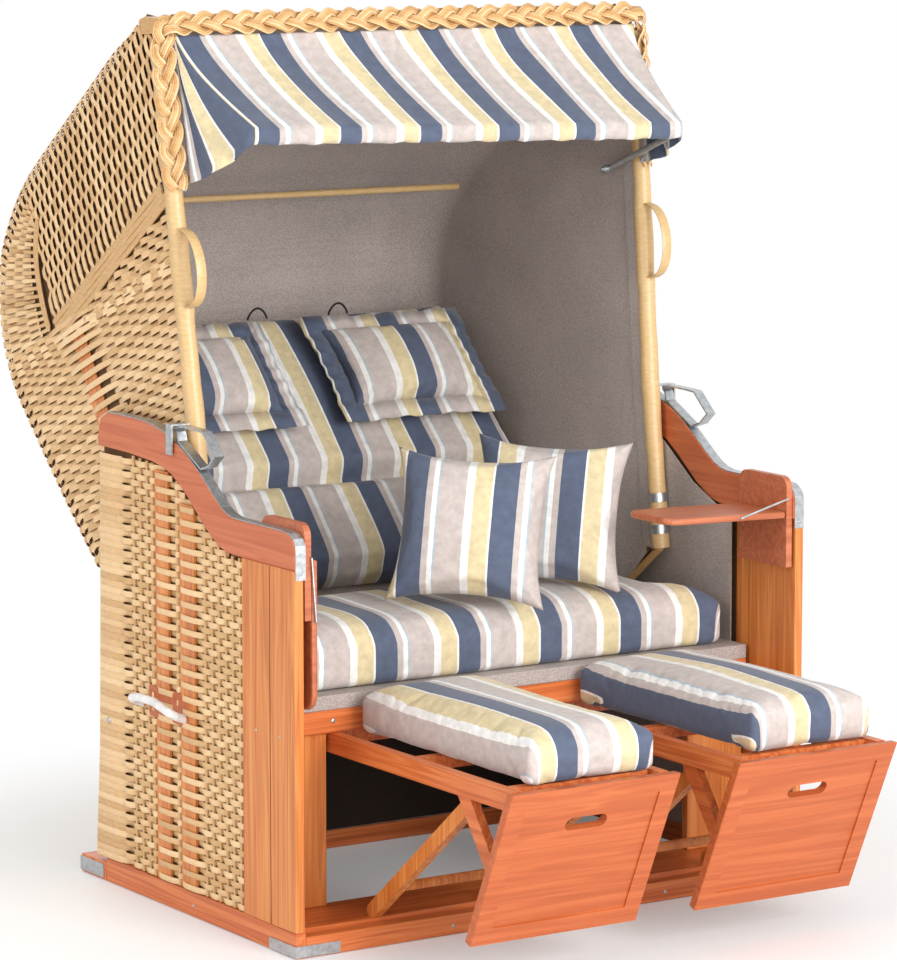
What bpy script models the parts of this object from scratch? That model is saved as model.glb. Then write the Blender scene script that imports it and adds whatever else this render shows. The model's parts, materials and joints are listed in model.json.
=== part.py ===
"""A hooded two-seat beach chair: wooden base with woven sides, a woven hood that reclines, two footrests
that slide out, two folding side tables, an awning frame, and fitted cushions.

Building frame: x runs across, y runs back from the front face of the side boards, z runs up from the
ground. Every root piece is moved by CENTRE_Y at the end of the line, so that the footprint is centred.
"""

import math

import bmesh
import bpy
from mathutils import Matrix, Vector

# overall
WIDTH = 1.087
HALF_W = WIDTH / 2
DEPTH = 0.684
HEIGHT = 1.600
FRONT_Y = -0.4574
BACK_Y = 1.2173
CENTRE_Y = (FRONT_Y + BACK_Y) / 2
SIDES = (("left", -1), ("right", 1))

# clearances
GAP = 0.0003
OVERRUN = 0.010
FUSE_IN = 0.004

# base timber
RAIL_T = 0.020
RAIL_H = 0.044
SILL_STEP_Y = 0.030
SILL_STEP_Z = 0.036
SILL_D = 0.168
BACK_SILL_Y = 0.782
BACK_SILL_H = 0.034
BOARD_T = 0.018
BOARD_SEAM_Y = 0.085
BOARD_BACK_Y = 0.180
TIMBER_ROUND = 0.0015

# side and back panels
PANEL_IN_X = 0.517
PANEL_FLARE_YZ = [(0.729, 0.0443), (0.712, 0.250), (0.703, 0.550), (0.700, 0.813)]
BACK_PANEL_Y = 0.686
BACK_PANEL_T = 0.026
BACK_PANEL_TOP = 0.420
# the open columns of the side weave, where the laths behind it show
COLUMNS_Y = [(0.328, 0.4085), (0.4185, 0.496), (0.586, 0.618)]
COLUMN_SINK = 0.005
COLUMN_LOW_Z = 0.052

# armrests: the middle of the top is an arc about the hood pivot
PIVOT_Y = 0.560
PIVOT_Z = 0.460
ARM_IN_X = 0.5205
ARM_ARC_R = 0.417
ARM_ARC_STEPS = 9
ARM_ARC_FROM_DEG = 90.0
ARM_ARC_TO_DEG = 128.0
ARM_REAR_YZ = [(0.700, 0.828), (0.689, 0.864), (0.663, 0.877)]
ARM_FRONT_YZ = [
    (0.278, 0.7705), (0.252, 0.7535), (0.232, 0.7447), (0.212, 0.7407), (0.190, 0.7400),
    (0.043, 0.7400), (0.022, 0.7375), (0.008, 0.7300), (0.001, 0.7190), (0.000, 0.7080),
]
ARM_UNDER_YZ = [
    (0.000, 0.677), (0.205, 0.6765), (0.232, 0.6780), (0.263, 0.6860), (0.306, 0.7110), (0.365, 0.7560),
    (0.400, 0.7780), (0.431, 0.7930), (0.465, 0.8020), (0.498, 0.8070), (0.583, 0.8120), (0.697, 0.8130),
]
STRIP_T = 0.0015
STRIP_IN_X = 0.5220
STRIP_OUT_X = 0.5420
STRIP_END_Z = 0.660

# corner plates
PLATE_T = 0.0015
PLATE_LOW = 0.002
PLATE_HIGH = 0.022
PLATE_SIDE_Y = 0.090
PLATE_FRONT_X = 0.456

# seat frame
JAMB_IN_X = 0.3925
JAMB_Y = 0.147
JAMB_T = 0.018
SEAT_RAIL_Y = 0.135
SEAT_RAIL_Z = 0.3568
SEAT_BOARD_Z = 0.398
SEAT_TOP_Z = 0.424
SEAT_BOARD_BACK_Y = 0.660

# carry handles
BLOCK_YZ = ((0.375, 0.519), (0.341, 0.398))
BLOCK_IN_X = 0.5295
BLOCK_OUT_X = 0.5417
GRIP_R = 0.0078
GRIP_OUT_X = 0.572
GRIP_YZ = [(0.388, 0.352), (0.388, 0.361), (0.398, 0.369), (0.445, 0.380), (0.500, 0.380), (0.530, 0.374),
           (0.541, 0.366), (0.541, 0.357)]
GRIP_X_SHARE = [0.0, 0.62, 0.95, 1.0, 1.0, 0.95, 0.62, 0.0]

# fixed table plates and folding tables
TPLATE_OUT_X = ARM_IN_X - GAP
TPLATE_T = 0.0128
TPLATE_Y = (0.005, 0.150)
TPLATE_Z = (0.588, 0.755)
TPLATE_ROUND = 0.022
HINGE_X = 0.5002
HINGE_Z = 0.6855
TABLE_T = 0.0125
TABLE_REACH = 0.258
TABLE_Y = (0.005, 0.1445)
TABLE_ROUND = 0.030
TABLE_EDGE_SHARE = 0.36
TABLE_UP_DEG = 91.6
STAY_R = 0.0018
STAY_AT = 0.100
STAY_LEN = 0.112
STAY_Y = 0.0005
STAY_UP_DEG = 14.4
STAY_FOLD_DEG = 4.35

# footrests
FOOT_MID_X = 0.232
PANEL_W = 0.340
PANEL_T = 0.018
PANEL_TOP_YZ = (-0.458, 0.355)
PANEL_LOW_YZ = (-0.328, 0.072)
PANEL_RIM = 0.034
PANEL_SINK = 0.003
PANEL_SLOT_Z = 0.283
PANEL_SLOT_L = 0.084
PANEL_SLOT_H = 0.026
FRAIL_OUT_X = 0.3885
FRAIL_IN_X = 0.0755
FRAIL_T = 0.018
FRAIL_Z = (0.3205, 0.3565)
FRAIL_BACK_Y = 0.215
CROSS_T = 0.022
CROSS_FRONT_Y = -0.405
CROSS_MID_Y = -0.120
CROSS_DROP = 0.010
CROSS_REAR_AT = FRAIL_BACK_Y - 0.033
CROSS_REAR_DROP = 0.002
CROSS_TOP_INSET = 0.0025
BRACE_YZ = [(-0.300, 0.330), (-0.262, 0.330), (-0.3628, 0.1935), (-0.3773, 0.2250)]
STRUT_TOP_YZ = (-0.277, 0.306)
STRUT_FOOT_YZ = (0.037, 0.0552)
STRUT_W = 0.0258
STRUT_T = 0.018
STRUT_BAR_R = 0.009
STRUT_BAR_AT = 0.78

# hood
FLARE_FROM_Z = 0.880
FLARE = 0.040
HOOD_X = 0.505
SHELL_T = 0.022
SHELL_ROUND_R = 0.080
SHELL_IN_D = -0.030
SHELL_STEPS = 4
# on each side of the hood: the flat band between its two weaves, and the open ladder below it
RIDGE_YZ = [(0.5280, 1.2855), (0.9270, 1.0254), (0.9030, 0.9886), (0.5040, 1.2525)]
RIDGE_PROUD = 0.0015
LADDER_YZ = [(0.956, 0.985), (0.786, 0.852), (0.679, 0.896), (0.767, 1.035)]
LADDER_SINK = 0.005
PIN_HOLE_R = 0.0068
PIN_R = 0.0060
PIN_HEAD_R = 0.010
PIN_HEAD_T = 0.0035
# depth and drop below the top of the hood, from the front edge of the roof to the rear bend
HOOD_ROOF = [
    (0.5425, 0.002), (0.575, 0.015), (0.700, 0.101), (0.850, 0.204), (0.995, 0.304), (1.055, 0.350),
    (1.100, 0.396), (1.137, 0.450), (1.158, 0.496), (1.167, 0.555), (1.162, 0.621), (1.143, 0.680),
    (1.111, 0.732),
]
HOOD_BACK_YZ = [(y, HEIGHT - drop) for y, drop in HOOD_ROOF]
HOOD_BACK_YZ += [(1.025, 0.783), (0.932, 0.697), (0.850, 0.624), (0.785, 0.567), (0.757, 0.515),
                 (0.745, 0.452)]
HOOD_BACK_SHARES = [0.0, 0.20, 1.0, 1.0, 1.0, 1.0, 1.0, 1.0, 1.0, 1.0, 1.0, 1.0, 1.0, 1.0, 1.0, 1.0, 1.0,
                    1.0, 1.0]
HOOD_FLOOR_YZ = [(0.660, 0.450), (0.596, 0.450), (0.583, 0.4335), (0.560, 0.4258), (0.541, 0.4310),
                 (0.528, 0.4470), (0.4755, 0.4985)]
CUT_FRONT_Y = 0.150
CUT_LOW_Z = 0.300
POST_IN_X = 0.455
POST_OUT_X = 0.500
POST_D = 0.050
POST_FILLET = 0.003
POST_LOW_YZ = (0.363, 0.563)
POST_TOP_YZ = (0.492, HEIGHT)
POST_FOOT_YZ = [(0.446, 0.500), (0.474, 0.500)]
TOP_RAIL_H = 0.0345
TOP_RAIL_Z = HEIGHT - TOP_RAIL_H
TOP_RAIL_Y = (0.484, 0.5415)
TOP_RAIL_X = 0.508
TOP_RAIL_ROUND = 0.010
REST_BOARD_X = 0.4790
REST_BOARD_YZ = [(0.6420, 0.4630), (1.0320, 0.8530), (1.0235, 0.8615), (0.6335, 0.4715)]
LOOP_X = 0.486
LOOP_R = 0.006
LOOP_YZ = [(0.456, 1.222), (0.436, 1.2215), (0.418, 1.216), (0.400, 1.202), (0.385, 1.176), (0.3805, 1.150),
           (0.386, 1.122), (0.402, 1.102), (0.418, 1.094), (0.442, 1.0900)]
LOOP_CUT_Z = (1.000, 1.350)

# latches
BRACKET_Y = (0.4125, 0.4325)
BRACKET_T = 0.003
BRACKET_OFF = 0.0014
BRACKET_TOP_Z = 0.942
BRACKET_BEND_Z = 0.8798
BRACKET_OUT_X = 0.5470
BRACKET_END_Z = 0.828
LATCH_X = (0.5225, 0.5415)
LATCH_YZ = [
    (0.4180, 0.8794), (0.4085, 0.8794), (0.392, 0.8830), (0.338, 0.8815), (0.316, 0.8800), (0.2715, 0.8410),
    (0.284, 0.8310), (0.296, 0.8200), (0.324, 0.8115), (0.405, 0.8520), (0.4110, 0.8680), (0.4180, 0.8735),
]
LATCH_T = 0.0030
LATCH_PIVOT_YZ = (0.4085, 0.8745)

# awning
AWN_PIVOT_YZ = (0.550, 1.280)
AWN_BAR_YZ = (0.300, 1.370)
AWN_ARM_X = (0.4500, 0.4560)
AWN_ARM_W = 0.018
AWN_BAR_R = 0.007
AWN_BAR_X = 0.485
AWN_KNOB_R = 0.013
AWN_KNOB_T = 0.014
AWN_STUB_R = 0.006
AWN_STUB_X = 0.4933
CLOTH_T = 0.0025
CLOTH_UNDER_RAIL = 0.0012
CLOTH_TOP_YZ = (0.4850, TOP_RAIL_Z - CLOTH_UNDER_RAIL)
CLOTH_BAR_YZ = (0.2900, 1.3780)
CLOTH_HEM_YZ = (0.2885, 1.3600)
CLOTH_SAG = 0.010
CLOTH_TOP_X = 0.492
CLOTH_BAR_X = 0.487
CLOTH_FOLD = 0.0035
CLOTH_FOLDS = 4.5
CLOTH_FOLD_LEAN = 0.7
CLOTH_CREASE_SHARE = 0.6
CLOTH_CREASE_TURNS = (7.3, 2.0)
CLOTH_CELLS = (28, 8)
GUSSET_YZ = (0.4460, 1.3050)

# cushions
SEAT_CUSHION_Y = (0.145, 0.532)
SEAT_SIDE_GAP = 0.029
SEAT_POST_GAP = 0.005
SEAT_CUSHION_HALF = PANEL_IN_X - SEAT_SIDE_GAP
SEAT_CUSHION_REAR_HALF = POST_IN_X - SEAT_POST_GAP
SEAT_NARROWS_Y = (0.270, 0.300)
SEAT_CUSHION_RIM = 0.078
SEAT_CUSHION_TOP = 0.118
SEAT_TUFTS = ((-0.5, 0.0, 0.006), (0.5, 0.0, 0.006), (0.0, 0.0, 0.004))
TUFT_SHARES = (0.16, 0.20)
REAR_CUSHION_X = 0.464
REAR_CUSHION_LOW = 0.070
REAR_CUSHION_LONG = 0.620
REAR_CUSHION_THICK = 0.082
REAR_CUSHION_RIM = 0.048
REAR_CREASE_SHARE = 0.42
REAR_CREASE_DEPTH = 0.022
REAR_CREASE_WIDTH_SHARE = 0.05
HEAD_HALF = (0.200, 0.105)
HEAD_THICK = 0.098
HEAD_EAR_SHARE = 0.035
PILLOW_RIM = 0.012
PILLOW_BULGE = 0.002
HEAD_X = 0.236
HEAD_ALONG = 0.512
HEAD_STANDS = {"left": 0.1279, "right": 0.1299}
THROW_HALF = (0.150, 0.150)
THROW_THICK = 0.105
THROW_EAR_SHARE = 0.045
THROW_LEAN_DEG = 66.0
THROW_TURN_DEG = -32.5
THROW_FRONT = (-0.053, 0.232, 0.6776)
THROW_REAR = (0.172, 0.300, 0.6774)
LEG_CUSHIONS = {"left": (-0.356, -0.084, -0.440, 0.122), "right": (0.112, 0.390, -0.424, 0.1295)}
LEG_RIM = 0.066
LEG_THICK = 0.090
SOFT_CORNER = 0.012
SOFT_CORNER_FROM_SHARE = 1.6
CUSHION_BULGE = 0.004
CROWN_SHARE = 0.5
PUFF_FULL = 0.003
PUFF_FLAT = 0.002
PUFF_TURNS = ((3.1, 1.0), (2.7, 0.5))

# slot: (linear colour, roughness, metallic)
SLOTS = {
    "wood": ((0.64, 0.20, 0.065, 1.0), 0.45, 0.0),
    "red_wood": ((0.52, 0.13, 0.05, 1.0), 0.40, 0.0),
    "wicker": ((0.70, 0.47, 0.21, 1.0), 0.55, 0.0),
    "steel": ((0.62, 0.64, 0.66, 1.0), 0.35, 1.0),
    "white_plastic": ((0.85, 0.85, 0.86, 1.0), 0.35, 0.0),
    "grey_fabric": ((0.25, 0.22, 0.20, 1.0), 0.90, 0.0),
    "stripe_fabric": ((0.52, 0.48, 0.46, 1.0), 0.90, 0.0),
}

bpy.context.scene.unit_settings.scale_length = 1.0
for thing in list(bpy.data.objects):
    bpy.data.objects.remove(thing, do_unlink=True)

ROOT_AT = Vector((0.0, 0.0, 0.0))
groups = {"root": (None, ROOT_AT)}


def material(slot):
    """The Principled material of one slot, made once."""
    if slot in bpy.data.materials:
        return bpy.data.materials[slot]
    made = bpy.data.materials.new(slot)
    made.use_nodes = True
    shader = made.node_tree.nodes["Principled BSDF"]
    colour, rough, metal = SLOTS[slot]
    shader.inputs["Base Color"].default_value = colour
    shader.inputs["Roughness"].default_value = rough
    shader.inputs["Metallic"].default_value = metal
    return made


def add_group(name, pivot, parent="root"):
    """An empty on a joint axis; the pieces that move with it hang from it."""
    pivot = Vector(pivot)
    above, above_at = groups[parent]
    empty = bpy.data.objects.new(name, None)
    bpy.context.scene.collection.objects.link(empty)
    empty.parent = above
    empty.location = pivot - above_at
    if above is None:
        empty.location.y -= CENTRE_Y
    groups[name] = (empty, pivot)


def solid(name, points, faces, slot, group="root", smooth=False):
    """One named piece from points in the building frame."""
    empty, pivot = groups[group]
    mesh = bpy.data.meshes.new(name)
    mesh.from_pydata([Vector(p) - pivot for p in points], [], faces)
    shape = bmesh.new()
    shape.from_mesh(mesh)
    bmesh.ops.recalc_face_normals(shape, faces=shape.faces[:])
    shape.to_mesh(mesh)
    shape.free()
    for face in mesh.polygons:
        face.use_smooth = smooth
    mesh.materials.append(material(slot))
    piece = bpy.data.objects.new(name, mesh)
    bpy.context.scene.collection.objects.link(piece)
    piece.parent = empty
    if empty is None:
        piece.location.y -= CENTRE_Y
    return piece


def prism(name, outline, axis, low, high, slot, group="root"):
    """A closed outline drawn along one axis. Pairs are (y, z) for x, (x, z) for y and (x, y) for z."""
    low, high = min(low, high), max(low, high)

    def point(pair, depth):
        a, b = pair
        if axis == "x":
            return (depth, a, b)
        if axis == "y":
            return (a, depth, b)
        return (a, b, depth)

    count = len(outline)
    points = [point(p, low) for p in outline] + [point(p, high) for p in outline]
    faces = [list(range(count)), list(range(2 * count - 1, count - 1, -1))]
    for i in range(count):
        j = (i + 1) % count
        faces.append([i, j, count + j, count + i])
    return solid(name, points, faces, slot, group)


def block(name, xs, ys, zs, slot, group="root"):
    """A straight board."""
    outline = [(ys[0], zs[0]), (ys[1], zs[0]), (ys[1], zs[1]), (ys[0], zs[1])]
    return prism(name, outline, "x", xs[0], xs[1], slot, group)


def soften(piece, width, segments=1):
    """A small round on every hard edge."""
    bevel = piece.modifiers.new("edge", "BEVEL")
    bevel.width = width
    bevel.segments = segments
    bevel.limit_method = "ANGLE"
    bevel.angle_limit = math.radians(35)
    bevel.use_clamp_overlap = True
    bake(piece)
    return piece


def bake(piece):
    """Replaces the mesh by the result of its modifiers."""
    bpy.context.view_layer.update()
    graph = bpy.context.evaluated_depsgraph_get()
    shape = bpy.data.meshes.new_from_object(piece.evaluated_get(graph))
    piece.modifiers.clear()
    piece.data = shape


def combine(piece, others, operation):
    """Boolean of one piece with others, which are used up."""
    for other in others:
        step = piece.modifiers.new(operation.lower(), "BOOLEAN")
        step.operation = operation
        step.solver = "EXACT"
        step.object = other
        bake(piece)
    for other in others:
        bpy.data.objects.remove(other, do_unlink=True)
    return piece


def cylinder(name, centre, radius, axis, low, high, slot, group="root", sides=16):
    """A round bar along one axis; centre is the pair of the other two coordinates."""
    ring = []
    for i in range(sides):
        turn = 2 * math.pi * i / sides
        ring.append((centre[0] + radius * math.cos(turn), centre[1] + radius * math.sin(turn)))
    return prism(name, ring, axis, low, high, slot, group)


def tube(name, path, radius, slot, group="root", sides=10):
    """A round bar bent along a path."""
    path = [Vector(p) for p in path]
    points, faces = [], []
    across = None
    for i, at in enumerate(path):
        before = path[max(i - 1, 0)]
        after = path[min(i + 1, len(path) - 1)]
        ahead = (after - before).normalized()
        if across is None:
            across = ahead.orthogonal().normalized()
        across = (across - ahead * across.dot(ahead)).normalized()
        up = ahead.cross(across)
        for k in range(sides):
            turn = 2 * math.pi * k / sides
            points.append(at + across * radius * math.cos(turn) + up * radius * math.sin(turn))
    for i in range(len(path) - 1):
        for k in range(sides):
            m = (k + 1) % sides
            faces.append([i * sides + k, i * sides + m, (i + 1) * sides + m, (i + 1) * sides + k])
    faces.append(list(range(sides)))
    faces.append(list(range(len(points) - 1, len(points) - 1 - sides, -1)))
    return solid(name, points, faces, slot, group, smooth=True)


def shifted_path(path, distance):
    """An open path moved sideways, to the left of its direction of travel."""
    moved = []
    for i, (a, b) in enumerate(path):
        normals = []
        for j in (i - 1, i):
            if 0 <= j < len(path) - 1:
                da, db = path[j + 1][0] - path[j][0], path[j + 1][1] - path[j][1]
                length = math.hypot(da, db)
                normals.append((-db / length, da / length))
        na = sum(n[0] for n in normals) / len(normals)
        nb = sum(n[1] for n in normals) / len(normals)
        size = na * na + nb * nb
        moved.append((a + distance * na / size, b + distance * nb / size))
    return moved


def flared(piece):
    """Widens a hood piece towards the top; everything on the hood shares this taper."""
    shape = bmesh.new()
    shape.from_mesh(piece.data)
    level = Vector((0.0, 0.0, FLARE_FROM_Z - groups["hood"][1].z))
    geometry = shape.verts[:] + shape.edges[:] + shape.faces[:]
    bmesh.ops.bisect_plane(shape, geom=geometry, plane_co=level, plane_no=Vector((0.0, 0.0, 1.0)))
    shape.to_mesh(piece.data)
    shape.free()
    for vertex in piece.data.vertices:
        z = vertex.co.z + groups["hood"][1].z
        share = min(max((z - FLARE_FROM_Z) / (HEIGHT - FLARE_FROM_Z), 0.0), 1.0)
        vertex.co.x *= 1 + FLARE * share
    return piece


def flare_at(z):
    """How much wider the hood is at one height."""
    return 1 + FLARE * min(max((z - FLARE_FROM_Z) / (HEIGHT - FLARE_FROM_Z), 0.0), 1.0)


# base
def add_base():
    for side, sign in SIDES:
        rail = block(f"rail_side_{side}", (sign * (HALF_W - RAIL_T), sign * HALF_W), (0.0, DEPTH),
                     (0.0, RAIL_H), "wood")
        soften(rail, TIMBER_ROUND)
        front = block(f"post_board_front_{side}", (sign * (HALF_W - BOARD_T), sign * HALF_W),
                      (0.0, BOARD_SEAM_Y - GAP), (RAIL_H + GAP, ARM_UNDER_YZ[1][1] - GAP), "wood")
        soften(front, TIMBER_ROUND)
        rear = block(f"post_board_rear_{side}", (sign * (HALF_W - BOARD_T), sign * HALF_W),
                     (BOARD_SEAM_Y, BOARD_BACK_Y), (RAIL_H + GAP, ARM_UNDER_YZ[1][1] - GAP), "wood")
        soften(rear, TIMBER_ROUND)
    inner = HALF_W - RAIL_T - GAP
    sill = prism("sill_front", [(0.0, 0.0), (SILL_D, 0.0), (SILL_D, RAIL_H), (SILL_STEP_Y, RAIL_H),
                                (SILL_STEP_Y, SILL_STEP_Z), (0.0, SILL_STEP_Z)], "x", -inner, inner, "wood")
    soften(sill, TIMBER_ROUND)
    back = block("sill_back", (-HALF_W, HALF_W), (DEPTH + GAP, BACK_SILL_Y), (0.0, BACK_SILL_H), "wood")
    soften(back, TIMBER_ROUND)


def add_plates():
    for side, sign in SIDES:
        skin = HALF_W + GAP
        outer = skin + PLATE_T
        front = -GAP - PLATE_T
        outline = [(sign * outer, front), (sign * PLATE_FRONT_X, front), (sign * PLATE_FRONT_X, -GAP),
                   (sign * skin, -GAP), (sign * skin, PLATE_SIDE_Y), (sign * outer, PLATE_SIDE_Y)]
        prism(f"corner_plate_{side}", outline, "z", PLATE_LOW, PLATE_HIGH, "steel")


# woven side and back panels
def add_panels():
    under = [p for p in ARM_UNDER_YZ if p[0] > BOARD_BACK_Y]
    top = shifted_path(under, -GAP)
    outline = [(BOARD_BACK_Y + GAP, RAIL_H + GAP)] + PANEL_FLARE_YZ[:-1]
    outline += [(PANEL_FLARE_YZ[-1][0], top[-1][1])] + top[::-1]
    outline += [(BOARD_BACK_Y + GAP, ARM_UNDER_YZ[1][1] - GAP)]
    for side, sign in SIDES:
        panel = prism(f"side_panel_{side}", outline, "x", sign * PANEL_IN_X, sign * HALF_W, "wicker")
        (y0, y1), (z0, z1) = BLOCK_YZ
        pocket = block("pocket", (sign * (BLOCK_IN_X - GAP), sign * (HALF_W + OVERRUN)),
                       (y0 - GAP, y1 + GAP), (z0 - GAP, z1 + GAP), "wicker")
        columns = []
        for ys in COLUMNS_Y:
            columns.append(block("column", (sign * (HALF_W - COLUMN_SINK), sign * (HALF_W + OVERRUN)), ys,
                                 (COLUMN_LOW_Z, HEIGHT), "wicker"))
        combine(panel, [pocket] + columns, "DIFFERENCE")
        wood = block(f"handle_block_{side}", (sign * BLOCK_IN_X, sign * BLOCK_OUT_X), (y0, y1), (z0, z1),
                     "wood")
        soften(wood, TIMBER_ROUND)
    wide = PANEL_IN_X - GAP
    back = block("back_panel", (-wide, wide), (BACK_PANEL_Y, BACK_PANEL_Y + BACK_PANEL_T),
                 (BACK_SILL_H + GAP, BACK_PANEL_TOP), "wicker")
    soften(back, TIMBER_ROUND)


def add_grips():
    """White bent grips; both ends turn in to the wooden block."""
    for side, sign in SIDES:
        path = []
        foot = BLOCK_OUT_X + GAP
        for (y, z), share in zip(GRIP_YZ, GRIP_X_SHARE):
            path.append((sign * (foot - GRIP_R + (GRIP_OUT_X - foot + GRIP_R) * share), y, z))
        grip = tube(f"carry_handle_{side}", path, GRIP_R, "white_plastic")
        low, high = GRIP_YZ[0][1] - OVERRUN * 3, GRIP_YZ[0][1] + OVERRUN * 5
        middle = (GRIP_YZ[0][0] + GRIP_YZ[-1][0]) / 2
        trims = []
        reach = OVERRUN * 3
        ends = (((GRIP_YZ[0][0] - reach, middle), foot), ((middle, GRIP_YZ[-1][0] + reach), HALF_W + GAP))
        for ys, face in ends:
            inner = sign * (foot - reach)
            trims.append(block("trim", (inner, sign * face), ys, (low, high), "white_plastic"))
        combine(grip, trims, "DIFFERENCE")


# armrests
def arm_top():
    """The top line of an armrest, from the rear corner to the front nose."""
    arc = []
    for i in range(ARM_ARC_STEPS):
        turn = ARM_ARC_FROM_DEG + (ARM_ARC_TO_DEG - ARM_ARC_FROM_DEG) * i / (ARM_ARC_STEPS - 1)
        arc.append((PIVOT_Y + ARM_ARC_R * math.cos(math.radians(turn)),
                    PIVOT_Z + ARM_ARC_R * math.sin(math.radians(turn))))
    return ARM_REAR_YZ + arc + ARM_FRONT_YZ


def add_arms():
    top = arm_top()
    outline = top + ARM_UNDER_YZ
    strip_line = top[2:] + [(0.0, STRIP_END_Z)]
    near = shifted_path(strip_line, -GAP)
    far = shifted_path(strip_line, -GAP - STRIP_T)
    for side, sign in SIDES:
        arm = prism(f"armrest_{side}", outline, "x", sign * ARM_IN_X, sign * HALF_W, "red_wood")
        soften(arm, TIMBER_ROUND)
        prism(f"arm_strip_{side}", near + far[::-1], "x", sign * STRIP_IN_X, sign * STRIP_OUT_X, "steel")


# seat frame
def add_seat_frame():
    wide = PANEL_IN_X - GAP
    for side, sign in SIDES:
        jamb = block(f"jamb_{side}", (sign * JAMB_IN_X, sign * wide), (JAMB_Y, JAMB_Y + JAMB_T),
                     (RAIL_H + GAP, SEAT_RAIL_Z - GAP), "wood")
        soften(jamb, TIMBER_ROUND)
    rail = block("seat_rail", (-wide, wide), (SEAT_RAIL_Y, JAMB_Y + JAMB_T),
                 (SEAT_RAIL_Z, SEAT_BOARD_Z - GAP), "wood")
    soften(rail, TIMBER_ROUND)
    board = block("seat_board", (-wide, wide), (SEAT_RAIL_Y, SEAT_BOARD_BACK_Y), (SEAT_BOARD_Z, SEAT_TOP_Z),
                  "grey_fabric")
    soften(board, TIMBER_ROUND)


# side tables
def rounded_plate(low, high, round_r, corners, steps=5):
    """A rectangle as (a, b) pairs with some corners rounded; corners is a set of 0..3, from low-low on."""
    (a0, b0), (a1, b1) = low, high
    places = [(a0, b0, 1, 1), (a1, b0, -1, 1), (a1, b1, -1, -1), (a0, b1, 1, -1)]
    starts = [180, 270, 0, 90]
    outline = []
    for k, (a, b, sa, sb) in enumerate(places):
        if k not in corners:
            outline.append((a, b))
            continue
        ca, cb = a + sa * round_r, b + sb * round_r
        for i in range(steps + 1):
            turn = math.radians(starts[k] + 90 * i / steps)
            outline.append((ca + round_r * math.cos(turn), cb + round_r * math.sin(turn)))
    return outline


def turned(points, pivot_xz, degrees):
    """Points turned about a line along y through (x, z)."""
    c, s = math.cos(math.radians(degrees)), math.sin(math.radians(degrees))
    out = []
    for x, y, z in points:
        dx, dz = x - pivot_xz[0], z - pivot_xz[1]
        out.append((pivot_xz[0] + dx * c + dz * s, y, pivot_xz[1] - dx * s + dz * c))
    return out


def add_tables():
    for side, sign in SIDES:
        plate = rounded_plate((TPLATE_Y[0], TPLATE_Z[0]), (TPLATE_Y[1], TPLATE_Z[1]), TPLATE_ROUND, {2, 3})
        prism(f"table_plate_{side}", plate, "x", sign * (TPLATE_OUT_X - TPLATE_T), sign * TPLATE_OUT_X,
              "red_wood")
        group = f"table_{side}_joint"
        add_group(group, (sign * HINGE_X, (TABLE_Y[0] + TABLE_Y[1]) / 2, HINGE_Z))
        up = side == "right"
        # drawn flat at hinge height first, then turned to its rest angle
        half = TABLE_T / 2
        outline = rounded_plate((-TABLE_REACH, TABLE_Y[0]), (half, TABLE_Y[1]), TABLE_ROUND, {0, 3})
        points = [(sign * (HINGE_X + a), b, HINGE_Z - half) for a, b in outline]
        points += [(sign * (HINGE_X + a), b, HINGE_Z + half) for a, b in outline]
        count = len(outline)
        faces = [list(range(count)), list(range(2 * count - 1, count - 1, -1))]
        for i in range(count):
            j = (i + 1) % count
            faces.append([i, j, count + j, count + i])
        tilt = sign * (TABLE_UP_DEG - 90) if up else sign * -90
        points = turned(points, (sign * HINGE_X, HINGE_Z), tilt)
        table = solid(f"table_{side}", points, faces, "red_wood", group)
        soften(table, TABLE_T * TABLE_EDGE_SHARE, 2)
        add_stay(side, sign, up, group)


def add_stay(side, sign, up, table_group):
    """Wire stay, hinged on the table's front edge; its upper end is left open here."""
    if up:
        low = (sign * (HINGE_X - STAY_AT), HINGE_Z + STAY_AT * math.sin(math.radians(TABLE_UP_DEG - 90)))
        lean = math.radians(STAY_UP_DEG)
        high = (low[0] + sign * STAY_LEN * math.cos(lean), low[1] + STAY_LEN * math.sin(lean))
    else:
        low = (sign * HINGE_X, HINGE_Z - STAY_AT)
        lean = math.radians(STAY_FOLD_DEG)
        high = (low[0] + sign * STAY_LEN * math.sin(lean), low[1] + STAY_LEN * math.cos(lean))
    group = f"stay_{side}_joint"
    add_group(group, (low[0], STAY_Y, low[1]), table_group)
    hook = TABLE_Y[0] - GAP
    path = [(low[0], hook, low[1]), (low[0], STAY_Y, low[1]), (high[0], STAY_Y, high[1]),
            (high[0], hook, high[1])]
    tube(f"table_stay_{side}", path, STAY_R, "steel", group, sides=8)


# footrests
def add_footrests():
    (ty, tz), (ly, lz) = PANEL_TOP_YZ, PANEL_LOW_YZ
    slope = (ly - ty) / (tz - lz)
    long = math.hypot(ly - ty, tz - lz)
    out = ((lz - tz) / long, -(ly - ty) / long)
    back = PANEL_T * math.hypot(slope, 1.0)

    def behind(z):
        return ty + (tz - z) * slope + back + GAP

    for side, sign in SIDES:
        group = f"footrest_{side}_joint"
        mid = sign * FOOT_MID_X
        add_group(group, (mid, ty, tz))
        face = [(ty, tz), (ly, lz), (ly - out[0] * PANEL_T, lz - out[1] * PANEL_T), (ty + back, tz)]
        edges = (mid - PANEL_W / 2, mid + PANEL_W / 2)
        panel = prism(f"footrest_panel_{side}", face, "x", edges[0], edges[1], "wood", group)
        soften(panel, TIMBER_ROUND)
        combine(panel, panel_cutters(mid, group, out, slope), "DIFFERENCE")
        add_footrest_frame(side, sign, group, behind)
        add_strut(side, sign, group)


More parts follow.
